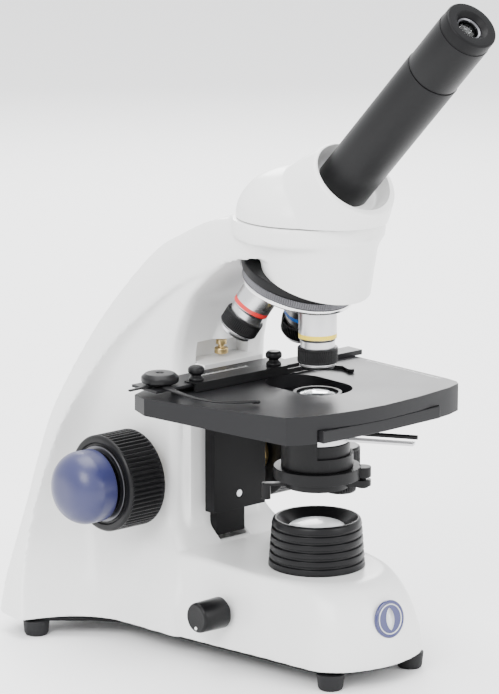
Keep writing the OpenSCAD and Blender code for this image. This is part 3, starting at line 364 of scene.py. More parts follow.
arm_corner = [(102, 168.5, 11), (95.5, 170.5, 31), (84.5, 173, 54), (75.5, 174, 75), (68, 174, 97),
              (60, 170.5, 125), (52.5, 162.5, 149), (45.5, 147, 178), (39.5, 129.5, 203), (35, 104, 230),
              (33.5, 82, 243.5), (32, 48, 257.5), (32, 8, 258.5)]
arm_spine = [(0, 172, 11), (0, 173.5, 31), (0, 174.6, 54), (0, 174.9, 76), (0, 174.8, 97),
             (0, 172.5, 126), (0, 165.5, 150), (0, 151, 178), (0, 134, 203), (0, 108, 231),
             (0, 85, 245.5), (0, 50, 259.6),
             (0, 8, 260.4)]


def arm_surface():
    """Half sections joined rail to rail and mirrored: front face, flat cheek, hollow strip from the cheek
    to the flare (its middle pulled inwards), rounded edge of the flare, and the crowned back of the
    spine."""
    t = np.linspace(0, 1, 150)
    front, cheek, flare, corner, spine = (through(r, t) for r in (arm_front, arm_cheek, arm_flare,
                                                                  arm_corner, arm_spine))
    middle = front * (0, 1, 1) + (0, -0.8, 0)

    def run(a, b, count, bow=None):
        s = np.linspace(0, 1, count, endpoint=False)[:, None, None]
        line = a * (1 - s) + b * s
        return line if bow is None else line + bow * (4 * s * (1 - s))

    edge = flare * (1, 0, 0) + (flare * 0.55 + corner * 0.45) * (0, 1, 1)
    flat_front = middle * (0, 1, 1) + (front - (5, 0, 0)) * (1, 0, 0)
    behind = front + (cheek - front) * 0.07
    inward = np.stack([(cheek - flare)[:, 0] * 0.16, (flare - cheek)[:, 1] * 0.10 + 1,
                       np.zeros(len(t))], -1)
    half = np.concatenate([run(middle, flat_front, 5),
                           run(flat_front, behind, 6, (front - flat_front) * 0.20),
                           run(behind, cheek, 10), run(cheek, flare, 12, inward), run(flare, edge, 3),
                           run(edge, corner, 6, (edge - corner) * (0.16, -0.10, 0)),
                           run(corner, spine, 14),
                           spine[None]])
    mirror = half[1:-1][::-1] * (-1, 1, 1)
    loop = np.concatenate([half, mirror])
    return surface("arm", np.swapaxes(loop, 0, 1), cast_paint)


def base_surface():
    """Plan outlines at the lower edge and at the deck, blended upwards: the nose follows a rounded
    profile and the flanks lean in a straight line."""
    low = [(0, -64.5), (14.5, -62.3), (27, -58), (35, -52), (40.3, -44.5), (42.6, -33), (46.5, -3),
           (51.2, 26), (57, 66), (63, 107), (66, 140)]
    top = [(0, -40), (11, -38.2), (21.5, -33), (29.5, -25.5), (35, -16), (38.6, -6), (41.3, 8),
           (42.4, 30), (43.4, 66), (45, 107), (46, 140)]
    u = np.linspace(0, 1, 90)
    low, top = through(low, u), through(top, u)
    level = np.concatenate([np.linspace(0, 0.90, 22),
                            0.90 + 0.10 * np.sin(np.linspace(0.1, 1, 10) * np.pi / 2)])
    nose = np.clip(1.15 - u * 2.2, 0, 1)
    power = 1 + 1.6 * nose
    lift = 1 - (1 - np.minimum(level[:, None], 0.9995) ** power) ** (1 / (1 + nose))
    plan = low[None] * (1 - lift[..., None]) + top[None] * lift[..., None]
    tuck = np.clip((level - 0.955) / 0.045, 0, 1) ** 2 * 2.2
    plan = plan * (1 - tuck[:, None, None] / np.array([45.0, 130.0]))
    z = 11 + 46.5 * level
    half = np.concatenate([plan, np.repeat(z[:, None, None], len(u), 1)], -1)
    ring = np.concatenate([half, half[:, 1:][:, ::-1] * (-1, 1, 1)], 1)
    return surface("base", ring, cast_paint)


def block(name, low, high, paint):
    """A box from corner to corner, in mm."""
    x, y, z = np.array([low, high], float).T
    plan = np.array([[(x[0], y[0]), (x[1], y[0]), (x[1], y[1]), (x[0], y[1])]] * 2)
    return surface(name, np.concatenate([plan, np.repeat(z[:, None, None], 4, 1)], -1), paint,
                   smooth=False)


nose_bottom = 207.5
focus_centre = (0, 106.5, 97)
stand_parts = [
    base_surface(), arm_surface(),
    revolved("nose", eased([(0, nose_bottom - 4), (26, nose_bottom - 3), (29.6, 214, 6), (31.6, 230, 8),
                            (34.2, 246, 6), (37, 252), (0, 252)], 1), cast_paint),
    revolved("collar", eased([(0, 249), (42.6, 249, 3), (43.8, 252.5, 2), (43.8, 260.5, 0.8),
                              (0, 260.5)]),
             cast_paint, (0, 8, 0)),
    block("column_pad", (-27, 81.2, 56), (27, 90, 149), cast_paint),
    revolved("lug", eased([(0, 174), (7, 174, 1), (7, 215), (0, 215)]), cast_paint, (0, 84, 0)),
]
stand = merged("stand_casting", stand_parts, cast_paint)


def fused(piece, voxel, rounds):
    """Makes overlapping shapes one skin: remeshed at voxel mm, then each corner eased rounds times."""
    skin = piece.modifiers.new("fuse", "REMESH")
    skin.mode = "VOXEL"
    skin.voxel_size = voxel * MM
    ease = piece.modifiers.new("blend", "CORRECTIVE_SMOOTH")
    ease.factor = 0.5
    ease.iterations = rounds
    ease.smooth_type = "SIMPLE"
    applied(piece)


fused(stand, 1.7, 7)


# The turret leans back by 19 degrees about the point where the objectives' axes meet.
tilt = np.radians(19)
turret_axis = np.array([0, np.sin(tilt), -np.cos(tilt)])
cone_top = np.array([0, 0, 268.5])
slab_low = cone_top + turret_axis * 40.2
slab_back = np.array([0, np.cos(tilt), np.sin(tilt)])
slab = np.array([[slab_low + turret_axis * h + slab_back * u + np.array([x, 0, 0])
                  for u, x in ((-60, -60), (4, -60), (4, 60), (-60, 60))] for h in (0, 45)])
cutters = [
    block("below", (-150, -150, -20), (150, 250, 11), cast_paint),
    block("channel", (-20.2, 60, 134.6), (20.2, 93.4, 178), cast_paint),
    block("slide_gap", (-11.4, 60, 58), (11.4, 93.6, 140), cast_paint),
    block("rail_seat", (-19.6, 81.95, 59), (19.6, 93.4, 136), cast_paint),
    block("slot", (-15, 74.7, 45), (15, 93.4, 59.5), cast_paint),
    surface("nose_cut", slab, cast_paint, smooth=False),
    revolved("turret_room", [(0, 40.2), (35.2, 40.2), (35.2, 57), (0, 57)], cast_paint, cone_top,
             turret_axis),
    revolved("lamp_seat", [(0, 50), (20.1, 50), (20.1, 62), (0, 62)], cast_paint),
    revolved("head_seat", [(0, 254.5), (33.05, 254.5), (33.05, 264), (0, 264)], cast_paint),
    revolved("light_path", [(0, 190), (12, 190), (12, 256), (0, 256)], cast_paint),
    revolved("badge_seat", [(0, -1), (10.9, -1), (10.9, 12), (0, 12)], cast_paint, (0, -61.2, 38.5),
             (0, -0.989, 0.1478)),
    revolved("inlet_pocket", [(0, 0), (8.2, 0), (9.2, 12), (0, 12)], cast_paint, (0, 171.4, 30),
             (0, 1, 0)),
    revolved("knob_hole", [(0, 0), (4.1, 0), (4.1, 40), (0, 40)], cast_paint, (-80, 26.5, 32.5),
             (1, 0, 0)),
    revolved("bush_hole", [(0, -80), (9, -80), (9, 80), (0, 80)], cast_paint, focus_centre, (1, 0, 0)),
    revolved("bush_face_left", [(0, -80), (13.2, -80), (13.2, -42.8), (0, -42.8)], cast_paint,
             focus_centre, (1, 0, 0)),
    revolved("bush_face_right", [(0, 80), (13.2, 80), (13.2, 42.8), (0, 42.8)], cast_paint, focus_centre,
             (1, 0, 0)),
]


def cut_away(piece, cutters, paint, sharp_deg):
    """Takes the cutters' volumes out of a piece, and keeps edges sharper than sharp_deg sharp."""
    for cutter in cutters:
        cut = piece.modifiers.new("cut", "BOOLEAN")
        cut.operation = "DIFFERENCE"
        cut.solver = "EXACT"
        cut.object = cutter
    applied(piece)
    for cutter in cutters:
        bpy.data.objects.remove(cutter)
    piece.data.materials.clear()
    piece.data.materials.append(paint)
    piece.data.set_sharp_from_angle(angle=np.radians(sharp_deg))


cut_away(stand, cutters, cast_paint, 38)


def place(piece, body, slot, *stands_for):
    """Puts a finished piece on its body and hides the nodes it stands for; slot is not used."""
    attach(piece, body)
    if stands_for:
        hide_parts(*stands_for)
    return piece


place(stand, "frame", "cast_paint", "stand")


# ---- Base plate, feet and foot screws ----
# A pressed steel plate closes the casting from below. Four moulded rubber feet are held on with it
# by pan-head screws that run up into the casting's bosses.


def bevelled(node, body, slot, paint, width=0.4, segments=2):
    """A merged copy of a CAD node, its flat faces joined and its sharp edges rounded to width in mm."""
    mesh = nodes[node].data.copy()
    mesh.name = node + "_finished"
    mesh.materials.clear()
    mesh.materials.append(paint)
    piece = bpy.data.objects.new(node + "_finished", mesh)
    bpy.context.collection.objects.link(piece)
    piece.modifiers.new("weld", "WELD").merge_threshold = 0.00001
    flat = piece.modifiers.new("flat", "DECIMATE")
    flat.decimate_type = "DISSOLVE"
    flat.angle_limit = np.radians(1.0)
    edge = piece.modifiers.new("edge", "BEVEL")
    edge.width = width * MM
    edge.segments = segments
    edge.limit_method = "ANGLE"
    edge.angle_limit = np.radians(32)
    mesh.shade_smooth()
    piece.modifiers.new("shade", "WEIGHTED_NORMAL").keep_sharp = True
    return place(piece, body, slot, node)


plate_edge = [(0, -61), (13, -59), (25, -55), (32.5, -49.5), (37.5, -42.5), (39.6, -32), (43.5, -3),
              (48, 26), (54, 66), (58.5, 106), (70, 121), (84, 133), (98, 145), (101, 150), (99.5, 163),
              (95, 167), (86, 169), (0, 170)]
plate_edge = np.array(plate_edge + [(-x, y) for x, y in plate_edge[-2:0:-1]])
sheet = np.array([[(x * k, y * k + 40 * (1 - k), z) for x, y in plate_edge]
                  for k, z in ((0.996, 9.4), (1, 9.7), (1, 11))])
place(surface("bottom_plate", sheet, black_matte), "frame", "black_paint", "base_plate")
foot_places = ((-31, -46), (31, -46), (-92, 146), (92, 146))
foot_profile = eased([(2.05, 9.3), (8, 9.3, 0.4), (7.2, 1.4, 0.5), (6.4, 0, 0.8), (4.05, 0), (4.05, 3.9),
                      (2.05, 3.9)],
                     0.2, closed=True)
feet = [revolved("foot", foot_profile, foot_rubber, (x, y, 0), steps=64) for x, y in foot_places]
place(merged("feet_moulded", feet, foot_rubber), "frame", "rubber", "feet")
screw_profile = eased([(0, 2.4), (3.4, 2.4, 0.5), (3.8, 4, 0.2), (2, 4), (2, 19.4, 0.5), (0, 19.4)], 0.2)
screws = [revolved("screw", screw_profile, machined_steel, (x, y, 0), steps=48) for x, y in foot_places]
place(merged("foot_screws_turned", screws, machined_steel), "frame", "steel", "foot_screws")


# ---- Badge ----
# A round enamelled disc glued into the recess on the nose, with a plain emblem of a lens between two
# arcs in pale metal, standing a little proud of the enamel.

badge_blue = finish("badge_enamel", (0.010, 0.015, 0.11), (0.008, 0.011, 0.085), (0.12, 0.2), 600,
                    0.00002, coat=0.6, coat_gloss=0.08)
badge_centre = np.array([0, -61.2, 38.5])
badge_axis = np.array([0, -0.989, 0.1478])
disc = revolved("badge_disc", eased([(0, -1), (10.8, -1), (10.8, 0.7, 0.3), (9.9, 0.95, 0.2), (9.6, 0.7),
                                     (0, 0.7)],
                                    0.2), badge_blue, badge_centre, badge_axis)
place(disc, "frame", "blue_plastic", "front_badge")


def emblem():
    """A lens outline (two arcs of radius 9 whose centres lie 12 apart) inside a thin ring, on the
    badge's face."""
    rim = revolved("emblem_ring", [(8.1, 0.6), (8.8, 0.6), (8.8, 0.95), (8.1, 0.95), (8.1, 0.6)],
                   light_alloy, badge_centre, badge_axis)
    a = np.radians(np.linspace(-47, 47, 20))
    right = np.stack([9 * np.cos(a) - 6, 9 * np.sin(a)], -1)
    outline = np.concatenate([right, -right[1:-1]])
    up = np.array([0, 0.1478, 0.989])
    levels = [badge_centre + badge_axis * h for h in (0.6, 0.95)]
    grid = np.array([[level + np.array([1, 0, 0]) * u + up * v for u, v in outline] for level in levels])
    return merged("badge_emblem", [rim, surface("emblem_lens", grid, light_alloy)], light_alloy)


place(emblem(), "frame", "aluminium")


# ---- Lamp ----
# A ribbed plastic housing snaps into the deck over an LED on a finned alloy heat sink; a plano-convex
# collector lens drops into its mouth. The LED driver's board stands behind it on the bottom plate.

rib = 28.3 / 6
lamp_wall = [(14.5, 54), (20, 54), (20, 57.5), (28.1, 57.6, 0.4)]
for k in range(1, 6):
    out = 28.1 - 2.2 * k / 6
    mid = 57.5 + rib * k
    lamp_wall += [(out, mid - 0.9, 0.35), (out - 1.3, mid - 0.6, 0.3), (out - 1.3, mid + 0.6, 0.3),
                  (out, mid + 0.9, 0.35)]
lamp_wall += [(25.5, 84.9, 0.9), (24.5, 85.8, 0.6), (23.2, 85.8, 0.6), (16.1, 80.8, 0.3), (16.1, 77.8),
              (14.5, 77.8)]
place(revolved("lamp_moulding", eased(lamp_wall, 0.2, closed=True), black_plastic, steps=128), "frame",
      "black_plastic", "lamp_housing")
frosted = finish("frosted_glass", (0.78, 0.80, 0.81), (0.70, 0.72, 0.73), (0.22, 0.32), 1500, 0.00006,
                 coat=0.4, coat_gloss=0.05)
bulge = [(16 * np.sin(a), 80.8 + 3.6 * np.cos(a) ** 1.6) for a in np.linspace(np.pi / 2, 0, 16)]
place(revolved("collector_glass", [(0, 77.8), (15.8, 77.8), (16, 78)] + bulge, frosted), "frame", "glass",
      "collector_lens")
bevelled("led_module", "frame", "aluminium", light_alloy, 0.2)
place(block("board", (-24, 52, 17), (24, 88, 18.6), board_lacquer), "frame", "circuit", "driver_board")
chips = [block("coil", (-14, 60, 18.6), (-2, 74, 27.6), black_plastic),
         revolved("capacitor", eased([(0, 18.6), (5, 18.6), (5, 30.6, 0.6), (0, 30.6)]), black_plastic,
                  (8, 66, 0))]
chips += [revolved("pillar", [(0, 11), (2.5, 11), (2.5, 17), (0, 17)], black_plastic, (x, y, 0), steps=32)
          for x in (-21, 21) for y in (55, 85)]
place(merged("board_parts", chips, black_plastic), "frame", "black_plastic")
inlet = revolved("inlet_moulding", eased([(2.75, -11.5), (6, -11.5), (6, 8, 0.3), (2.75, 8), (2.75, -1)],
                                         0.2, closed=True), black_plastic, (0, 163.5, 30), (0, 1, 0))
place(inlet, "frame", "black_plastic", "dc_inlet")
place(revolved("inlet_pin", eased([(0, 157.5), (1, 157.5), (1, 170, 0.4), (0, 170)]), machined_steel,
               (0, 0, 30), (0, 1, 0), 24), "frame", "steel")


# ---- Brightness control ----
# A rotary potentiometer behind the left flank; its steel shaft carries a plastic knob with a white dot.

bevelled("dimmer_pot", "frame", "steel", machined_steel, 0.4)
knob_axis = (-1, 0, 0)
knob_foot = np.array([0, 26.5, 32.5])
place(revolved("dimmer_rod", eased([(0, 26.5), (3, 26.5), (3, 62), (0, 62)]), machined_steel, knob_foot,
               knob_axis, 32), "dimmer", "steel", "dimmer_shaft")
knob = eased([(0, 62.2), (3.05, 62.2), (3.05, 50.5), (9.2, 50.5, 0.4), (8.8, 68, 0.8), (7.9, 69.3, 0.8),
              (6, 69.15), (0, 69)], 0.1)
place(revolved("dimmer_moulding", knob, black_plastic, knob_foot, knob_axis), "dimmer", "black_plastic",
      "dimmer_knob")
white_mark = finish("white_mark", (0.82, 0.82, 0.80), (0.76, 0.76, 0.75), (0.4, 0.5), 800, 0.00002)
dot = revolved("dimmer_dot", eased([(0, 68.6), (1, 68.6), (1, 69.5, 0.2), (0, 69.5)]), white_mark,
               knob_foot - (0, 0, 6), knob_axis, 24)
place(dot, "dimmer", "aluminium")


# ---- Guide rails, shaft bushes and stop screw ----
# Two ground steel rails are screwed into the column's channel and guide the focus slide. Flanged brass
# bushes carry the coarse shaft; the brass stop screw hangs from a lug and limits how high the stage can
# go.

bevelled("guide_rails", "frame", "steel", dark_steel, 0.3)
bush = [(6.05, 20), (9, 20, 0.3), (9, 43), (13, 43, 0.3), (13, 46, 0.6), (6.05, 46, 0.4)]
bushes = [revolved("bush", eased(bush, 0.15, closed=True), turned_brass, focus_centre, (side, 0, 0), 64)
          for side in (-1, 1)]
place(merged("bushes_turned", bushes, turned_brass), "frame", "brass", "shaft_bushes")


def knurl(count, depth, start, end):
    """Straight ribs round a knob: the radius swings by depth (a share of it), count times a turn, between
    the heights start and end, and runs out smoothly towards both."""
    def swell(angle, height):
        inside = np.clip((height - start) / 0.6, 0, 1) * np.clip((end - height) / 0.6, 0, 1)
        return 1 - depth * inside * (0.5 + 0.5 * np.cos(count * angle)) ** 1.5
    return swell


def dense(profile, step=0.5):
    """Adds points along the straight runs of a profile so that none is longer than step."""
    p = np.asarray(profile, float)
    out = [p[:1]]
    for a, b in zip(p[:-1], p[1:]):
        count = max(1, int(np.ceil(np.linalg.norm(b - a) / step)))
        out.append(a + (b - a) * (np.arange(1, count + 1) / count)[:, None])
    return np.concatenate(out)


stop = eased([(0, 168), (3.7, 168, 0.3), (4.1, 168.5, 0.2), (4.1, 171.1, 0.2), (3.7, 171.6, 0.2),
              (1.8, 171.6), (1.8, 173.6), (3.2, 173.6, 0.2), (3.2, 176.6, 0.2), (1.8, 176.6), (1.8, 190),
              (0, 190)], 0.15)
place(revolved("stop_turned", stop, turned_brass, (0, 84, 0), steps=64), "frame", "brass", "stop_screw")


# ---- Coarse and fine focus ----
# The hollow steel coarse shaft has the pinion cut into its middle and a finely ribbed black knob
# pressed on at each end. The fine shaft runs through it and carries smooth domed knobs in dark blue
# plastic.


def painted(node, paint):
    """Gives a node that keeps its own shape a finish."""
    nodes[node].data.materials.clear()
    nodes[node].data.materials.append(paint)


painted("pinion_shaft", machined_steel)
coarse = dense(eased([(6, 0), (27.2, 0, 0.8), (28.6, 1.1, 0.6), (28.6, 25.2, 0.6), (27.4, 26.5, 0.8),
                      (24.4, 26.5, 0.3),
                      (23.8, 25.6, 0.3), (12, 25.6), (6, 25.6)], 0.3, closed=True), 1.2)
coarse_ribs = 60
sides = [revolved("coarse_knob", coarse, black_plastic, (side * 47.5, *focus_centre[1:]), (side, 0, 0),
                  coarse_ribs * 10, knurl(coarse_ribs, 0.040, 1.6, 24.8)) for side in (-1, 1)]
place(merged("coarse_moulded", sides, black_plastic), "coarse", "black_plastic", "coarse_knobs")
trim = eased([(19, 25.7), (22.4, 25.7), (22.4, 26.9, 0.3), (19, 26.9, 0.3)], 0.2, closed=True)
rings = [revolved("trim", trim, dark_steel, (side * 47.5, *focus_centre[1:]), (side, 0, 0))
         for side in (-1, 1)]
place(merged("coarse_rings", rings, dark_steel), "coarse", "steel")
place(revolved("fine_rod", eased([(0, -96), (3, -96), (3, 96), (0, 96)]), machined_steel, focus_centre,
               (1, 0, 0), 32), "fine", "steel", "fine_shaft")
crown_angles = np.radians(np.linspace(0, 89.9, 40))
crown = [(21.5 * np.cos(a) ** 0.62, 10 + 14.5 * np.sin(a) ** 1.25) for a in crown_angles]
foot = eased([(0, 19), (3.1, 19), (3.1, 0), (20.3, 0, 0.3), (21.4, 1.0, 0.3), (21.5, 9)], 0.3)
fine = np.concatenate([foot, crown, [(0, 24.5)]])
knobs = [revolved("fine_knob", fine, blue_plastic, (side * 77.5, *focus_centre[1:]), (side, 0, 0),
                  128) for side in (-1, 1)]
place(merged("fine_moulded", knobs, blue_plastic), "fine", "blue_plastic", "fine_knobs")


# ---- Focus slide, stage bracket and stop block ----
# The dovetail slide with its rack moves in the rails. A painted block on its top meets the stop screw,
# and the black bracket on its front face carries the stage.

bevelled("focus_slide", "lift", "black_paint", black_matte, 0.3)
painted("focus_rack", machined_steel)
bevelled("focus_block", "lift", "cast_paint", cast_paint, 2.2, 5)
bevelled("stage_bracket", "stage", "black_paint", black_matte, 0.8, 3)
screw = eased([(0, 0.4), (2.2, 0.4, 0.2), (2.35, 0.9), (2.35, 3), (1.5, 3), (1.5, 8), (0, 8)], 0.15)
place(revolved("bracket_screw_turned", screw, machined_steel, (0, 67.4, 86), (0, 1, 0), 48), "stage",
      "steel", "bracket_screw")


# ---- Stage ----
# The lower plate is fixed to the bracket; the upper plate slides on it towards and away from the user,
# has an oval opening for the light, and carries the tube of the two control knobs.

stage_paint = finish("stage_paint", (0.010, 0.010, 0.011), (0.006, 0.006, 0.007), (0.34, 0.42), 1600,
                     0.00003, specular=0.20)
bevelled("stage_base", "stage", "black_paint", stage_paint, 0.5)
bevelled("stage_plate", "stage_top", "black_paint", stage_paint, 0.45, 3)


def ticks(name, count, start, step, across, low, tall, width=0.25, length=(1.6, 2.8), along_x=True):
    """A row of printed scale strokes: every fifth is longer. start is the first one's place along the
    row, across the edge they start from, low and tall their faces in height; all in mm."""
    strokes = []
    for k in range(count):
        at = start + step * k
        reach = across + length[k % 5 == 0]
        if along_x:
            strokes.append(block("tick", (at, across, low), (at + width, reach, tall), white_mark))
        else:
            strokes.append(block("tick", (across, at, low), (reach, at + width, tall), white_mark))
    return merged(name, strokes, white_mark)


place(ticks("stage_scale", 41, -30, 1.5, 66.6, 162.4, 162.54, along_x=False), "stage_top", "aluminium")


# ---- Specimen holder ----
# A guide rail on the stage, and on it the sliding carriage with the bar that a glass slide rests
# against. Two waisted thumbscrews hold the bar; a black sickle-shaped finger turns under a round cap.

bevelled("holder_guide", "stage_top", "black_paint", stage_paint, 0.4)
bevelled("x_carriage", "carriage", "black_paint", stage_paint, 0.25)
bevelled("holder_bar", "carriage", "black_paint", black_paint, 0.25)
place(ticks("holder_scale", 36, -44, 1.0, 50, 167.15, 167.29), "carriage", "aluminium")
waist = eased([(0, 164.2), (1.4, 164.2), (1.4, 168.05), (4.4, 168.05, 0.4), (4.4, 169.3, 0.5),
               (2.9, 170.8, 0.8), (2.9, 171.4, 0.8), (4.8, 172.7, 0.6), (4.8, 175.0, 1.2),
               (3.6, 176.3, 1.0), (0, 176.35)], 0.2, 6)
thumbs = [revolved("thumb", waist, black_plastic, (x, 41, 0), steps=72) for x in (-56, 3)]
place(merged("thumbscrews_turned", thumbs, black_plastic), "carriage", "black_plastic",
      "holder_thumbscrews")


FINGER_STEPS = 60


def finger_rows(points, widths, thick):
    """Oval sections square to a path through points (x, y, z of the middle): widths are the half widths
    along it and thick is the height; the path and the widths run smoothly through their values."""
    path = through(points, np.linspace(0, 1, FINGER_STEPS))
    half = through(np.array(widths, float)[:, None], np.linspace(0, 1, FINGER_STEPS))[:, 0]
    way = np.gradient(path, axis=0) * (1, 1, 0)
    way /= np.linalg.norm(way, axis=1)[:, None]
    side = np.stack([-way[:, 1], way[:, 0], np.zeros(FINGER_STEPS)], -1)
    ang = np.linspace(0, 2 * np.pi, 16, endpoint=False)
    return (path[:, None] + side[:, None] * (half[:, None] * np.cos(ang))[..., None]
            + np.array([0, 0, 1]) * (thick / 2 * np.sin(ang))[None, :, None])


finger_parts = [
    surface("finger_arm", finger_rows([(-77, 48, 168.1), (-81, 36, 168.1), (-82.5, 24, 167.6),
                                       (-80, 12, 166.4),
                                       (-73, 2.5, 165.2), (-63, -4.5, 164.8), (-54.5, -9.5, 164.8)],
                                      (3.4, 2.6, 2.0, 1.8, 2.0, 2.6, 2.9), 1.4), black_paint),
    surface("finger_tail", finger_rows([(-77, 48, 168.1), (-89, 47, 168.1), (-101, 46, 168.1)],
                                       (3.4, 1.8, 1.3), 1.3),
            black_paint),
    revolved("finger_disc", eased([(2.6, 167.45), (7, 167.45, 0.3), (7, 168.75, 0.3), (2.6, 168.75)], 0.1,
                                  closed=True),
             black_paint, (-77, 48, 0), steps=48),
    revolved("finger_pad", eased([(0, 163.6), (2.4, 163.6, 0.5), (2.7, 164.6, 0.4), (2.2, 165.4, 0.5),
                                  (0, 165.5)]),
             black_paint, (-55, -9.2, 0), steps=32),
]
place(merged("finger_formed", finger_parts, black_paint), "finger", "black_paint", "slide_finger")
cap = eased([(0, 165.2), (2.4, 165.2), (2.4, 168.95), (10.2, 168.95, 0.4), (10.8, 169.8, 0.3),
             (10.8, 172.3, 0.5),
             (8.4, 174.4, 0.7), (2.6, 174.55, 0.4), (1.6, 173.7, 0.4), (0, 173.6)], 0.2, 5)
place(revolved("cap_turned", cap, black_plastic, (-77, 48, 0)), "carriage", "black_plastic", "finger_cap")


# ---- Stage controls ----
# Two ribbed knobs on one vertical axis: the upper turns a hollow shaft and moves the stage plate, the
# lower turns the shaft inside it and moves the specimen carriage.

control_foot = (53, 38, 0)
upper = dense(eased([(2.65, 97), (11.2, 97, 0.6), (12, 97.9, 0.5), (12, 111.2, 0.5), (11.2, 112, 0.6),
                     (4.55, 112), (4.55, 152), (2.65, 152)], 0.15, closed=True), 1.0)
place(revolved("y_knob_moulded", upper, black_plastic, control_foot, steps=44 * 8,
               swell=knurl(44, 0.045, 98.3, 110.7)),
      "y_control", "black_plastic", "y_knob")
lower = dense(eased([(0, 84), (8.8, 84, 0.6), (9.7, 84.9, 0.5), (9.7, 95.2, 0.5), (8.8, 96, 0.6),
                     (2.5, 96), (2.5, 152), (0, 152)], 0.15), 1.0)
place(revolved("x_knob_moulded", lower, black_plastic, control_foot, steps=36 * 8,
               swell=knurl(36, 0.05, 85.3, 94.7)),
      "x_control", "black_plastic", "x_knob")


# ---- Condenser ----
# A black tube screwed under the stage holds the condenser: its flange, the iris ring with a flat lever,
# the ring with a round lever that lifts it, the domed top lens, and a swing-out filter holder below.

bevelled("condenser_sleeve", "stage", "black_paint", black_paint, 0.2)
bevelled("condenser_barrel", "condenser", "black_paint", black_paint, 0.3)
bevelled("condenser_lever", "lift_lever", "black_paint", black_paint, 0.3)
bevelled("iris_lever", "iris", "chrome", machined_steel, 0.3)
bevelled("filter_holder", "filter", "black_paint", black_paint, 0.3)
front_lens = [(12 * np.sin(a), 158 + 3 * np.cos(a) ** 1.6) for a in np.linspace(np.pi / 2, 0, 14)]
place(revolved("condenser_glass", [(0, 155.5), (11.9, 155.5)] + front_lens, lens_glass), "condenser",
      "glass", "condenser_lens")
seat = eased([(12.1, 156.5), (14.1, 156.5), (14.1, 159.4, 0.3), (12.1, 159.4, 0.3)], 0.15, closed=True)
place(revolved("condenser_ring", seat, light_alloy), "condenser", "aluminium")


# ---- Nosepiece ----
# A black plate is screwed to the casting's slanting seat. The turret under it turns on a steel screw: a
# conical black body, a knurled grip and a bright turned rim.

plate = eased([(3, 40.3), (34.2, 40.3, 0.4), (34.5, 41, 0.3), (34.5, 45.4, 0.6), (33.6, 46.2, 0.4),
               (3, 46.2)], 0.2,
              closed=True)
place(revolved("nosepiece_turned", plate, black_paint, cone_top, turret_axis, 128), "frame",
      "black_paint", "nosepiece_base")
seat_directions = np.array([(0, 0, -1), (-0.28195, 0.46168, -0.84104), (0.28195, 0.46168, -0.84104)])
cone = revolved("turret_cone", eased([(3.1, 46.5), (31.6, 46.5), (31.6, 54.1, 0.3), (6, 62.95, 0.4),
                                      (3.1, 62.95)], 0.2,
                                     closed=True), black_paint, cone_top, turret_axis, 128)
bores = [revolved("bore", [(0, 40), (10.2, 40), (10.2, 80), (0, 80)], black_paint, cone_top, d)
         for d in seat_directions]
cut_away(cone, bores, black_paint, 35)
place(cone, "nosepiece", "black_paint", "turret")
grip = dense(eased([(31.65, 46.5), (32.6, 46.5, 0.3), (33, 47, 0.2), (33, 50.4, 0.2), (32.6, 50.9, 0.2),
                    (31.65, 50.9)],
                   0.1, closed=True), 0.5)
place(revolved("turret_grip", grip, dark_steel, cone_top, turret_axis, 150 * 6,
               knurl(150, 0.012, 46.6, 50.8)),
      "nosepiece", "steel")
rim = eased([(31.65, 51), (33, 51, 0.3), (33, 53.2, 0.5), (32.2, 53.8, 0.3), (31.65, 54.05)], 0.1,
            closed=True)
chrome = finish("bright_chrome", (0.80, 0.80, 0.81), (0.74, 0.74, 0.75), (0.10, 0.16), 1200, 0.00001,
                metallic=1.0)
place(revolved("turret_rim", rim, chrome, cone_top, turret_axis, 128), "nosepiece", "chrome")
centre_screw = eased([(0, 45.2), (2.95, 45.2), (2.95, 63.1), (4.6, 63.1, 0.2), (4.6, 64.6, 0.5),
                      (3.4, 64.9), (0, 64.9)], 0.15)
place(revolved("turret_screw_turned", centre_screw, machined_steel, cone_top, turret_axis, 48), "frame",
      "steel", "turret_screw")


# ---- Objectives ----
# Three turned brass barrels in satin chrome, screwed into the turret. Each has a coloured ring for its
# power, a black knurled grip near the front and a small recessed front lens.

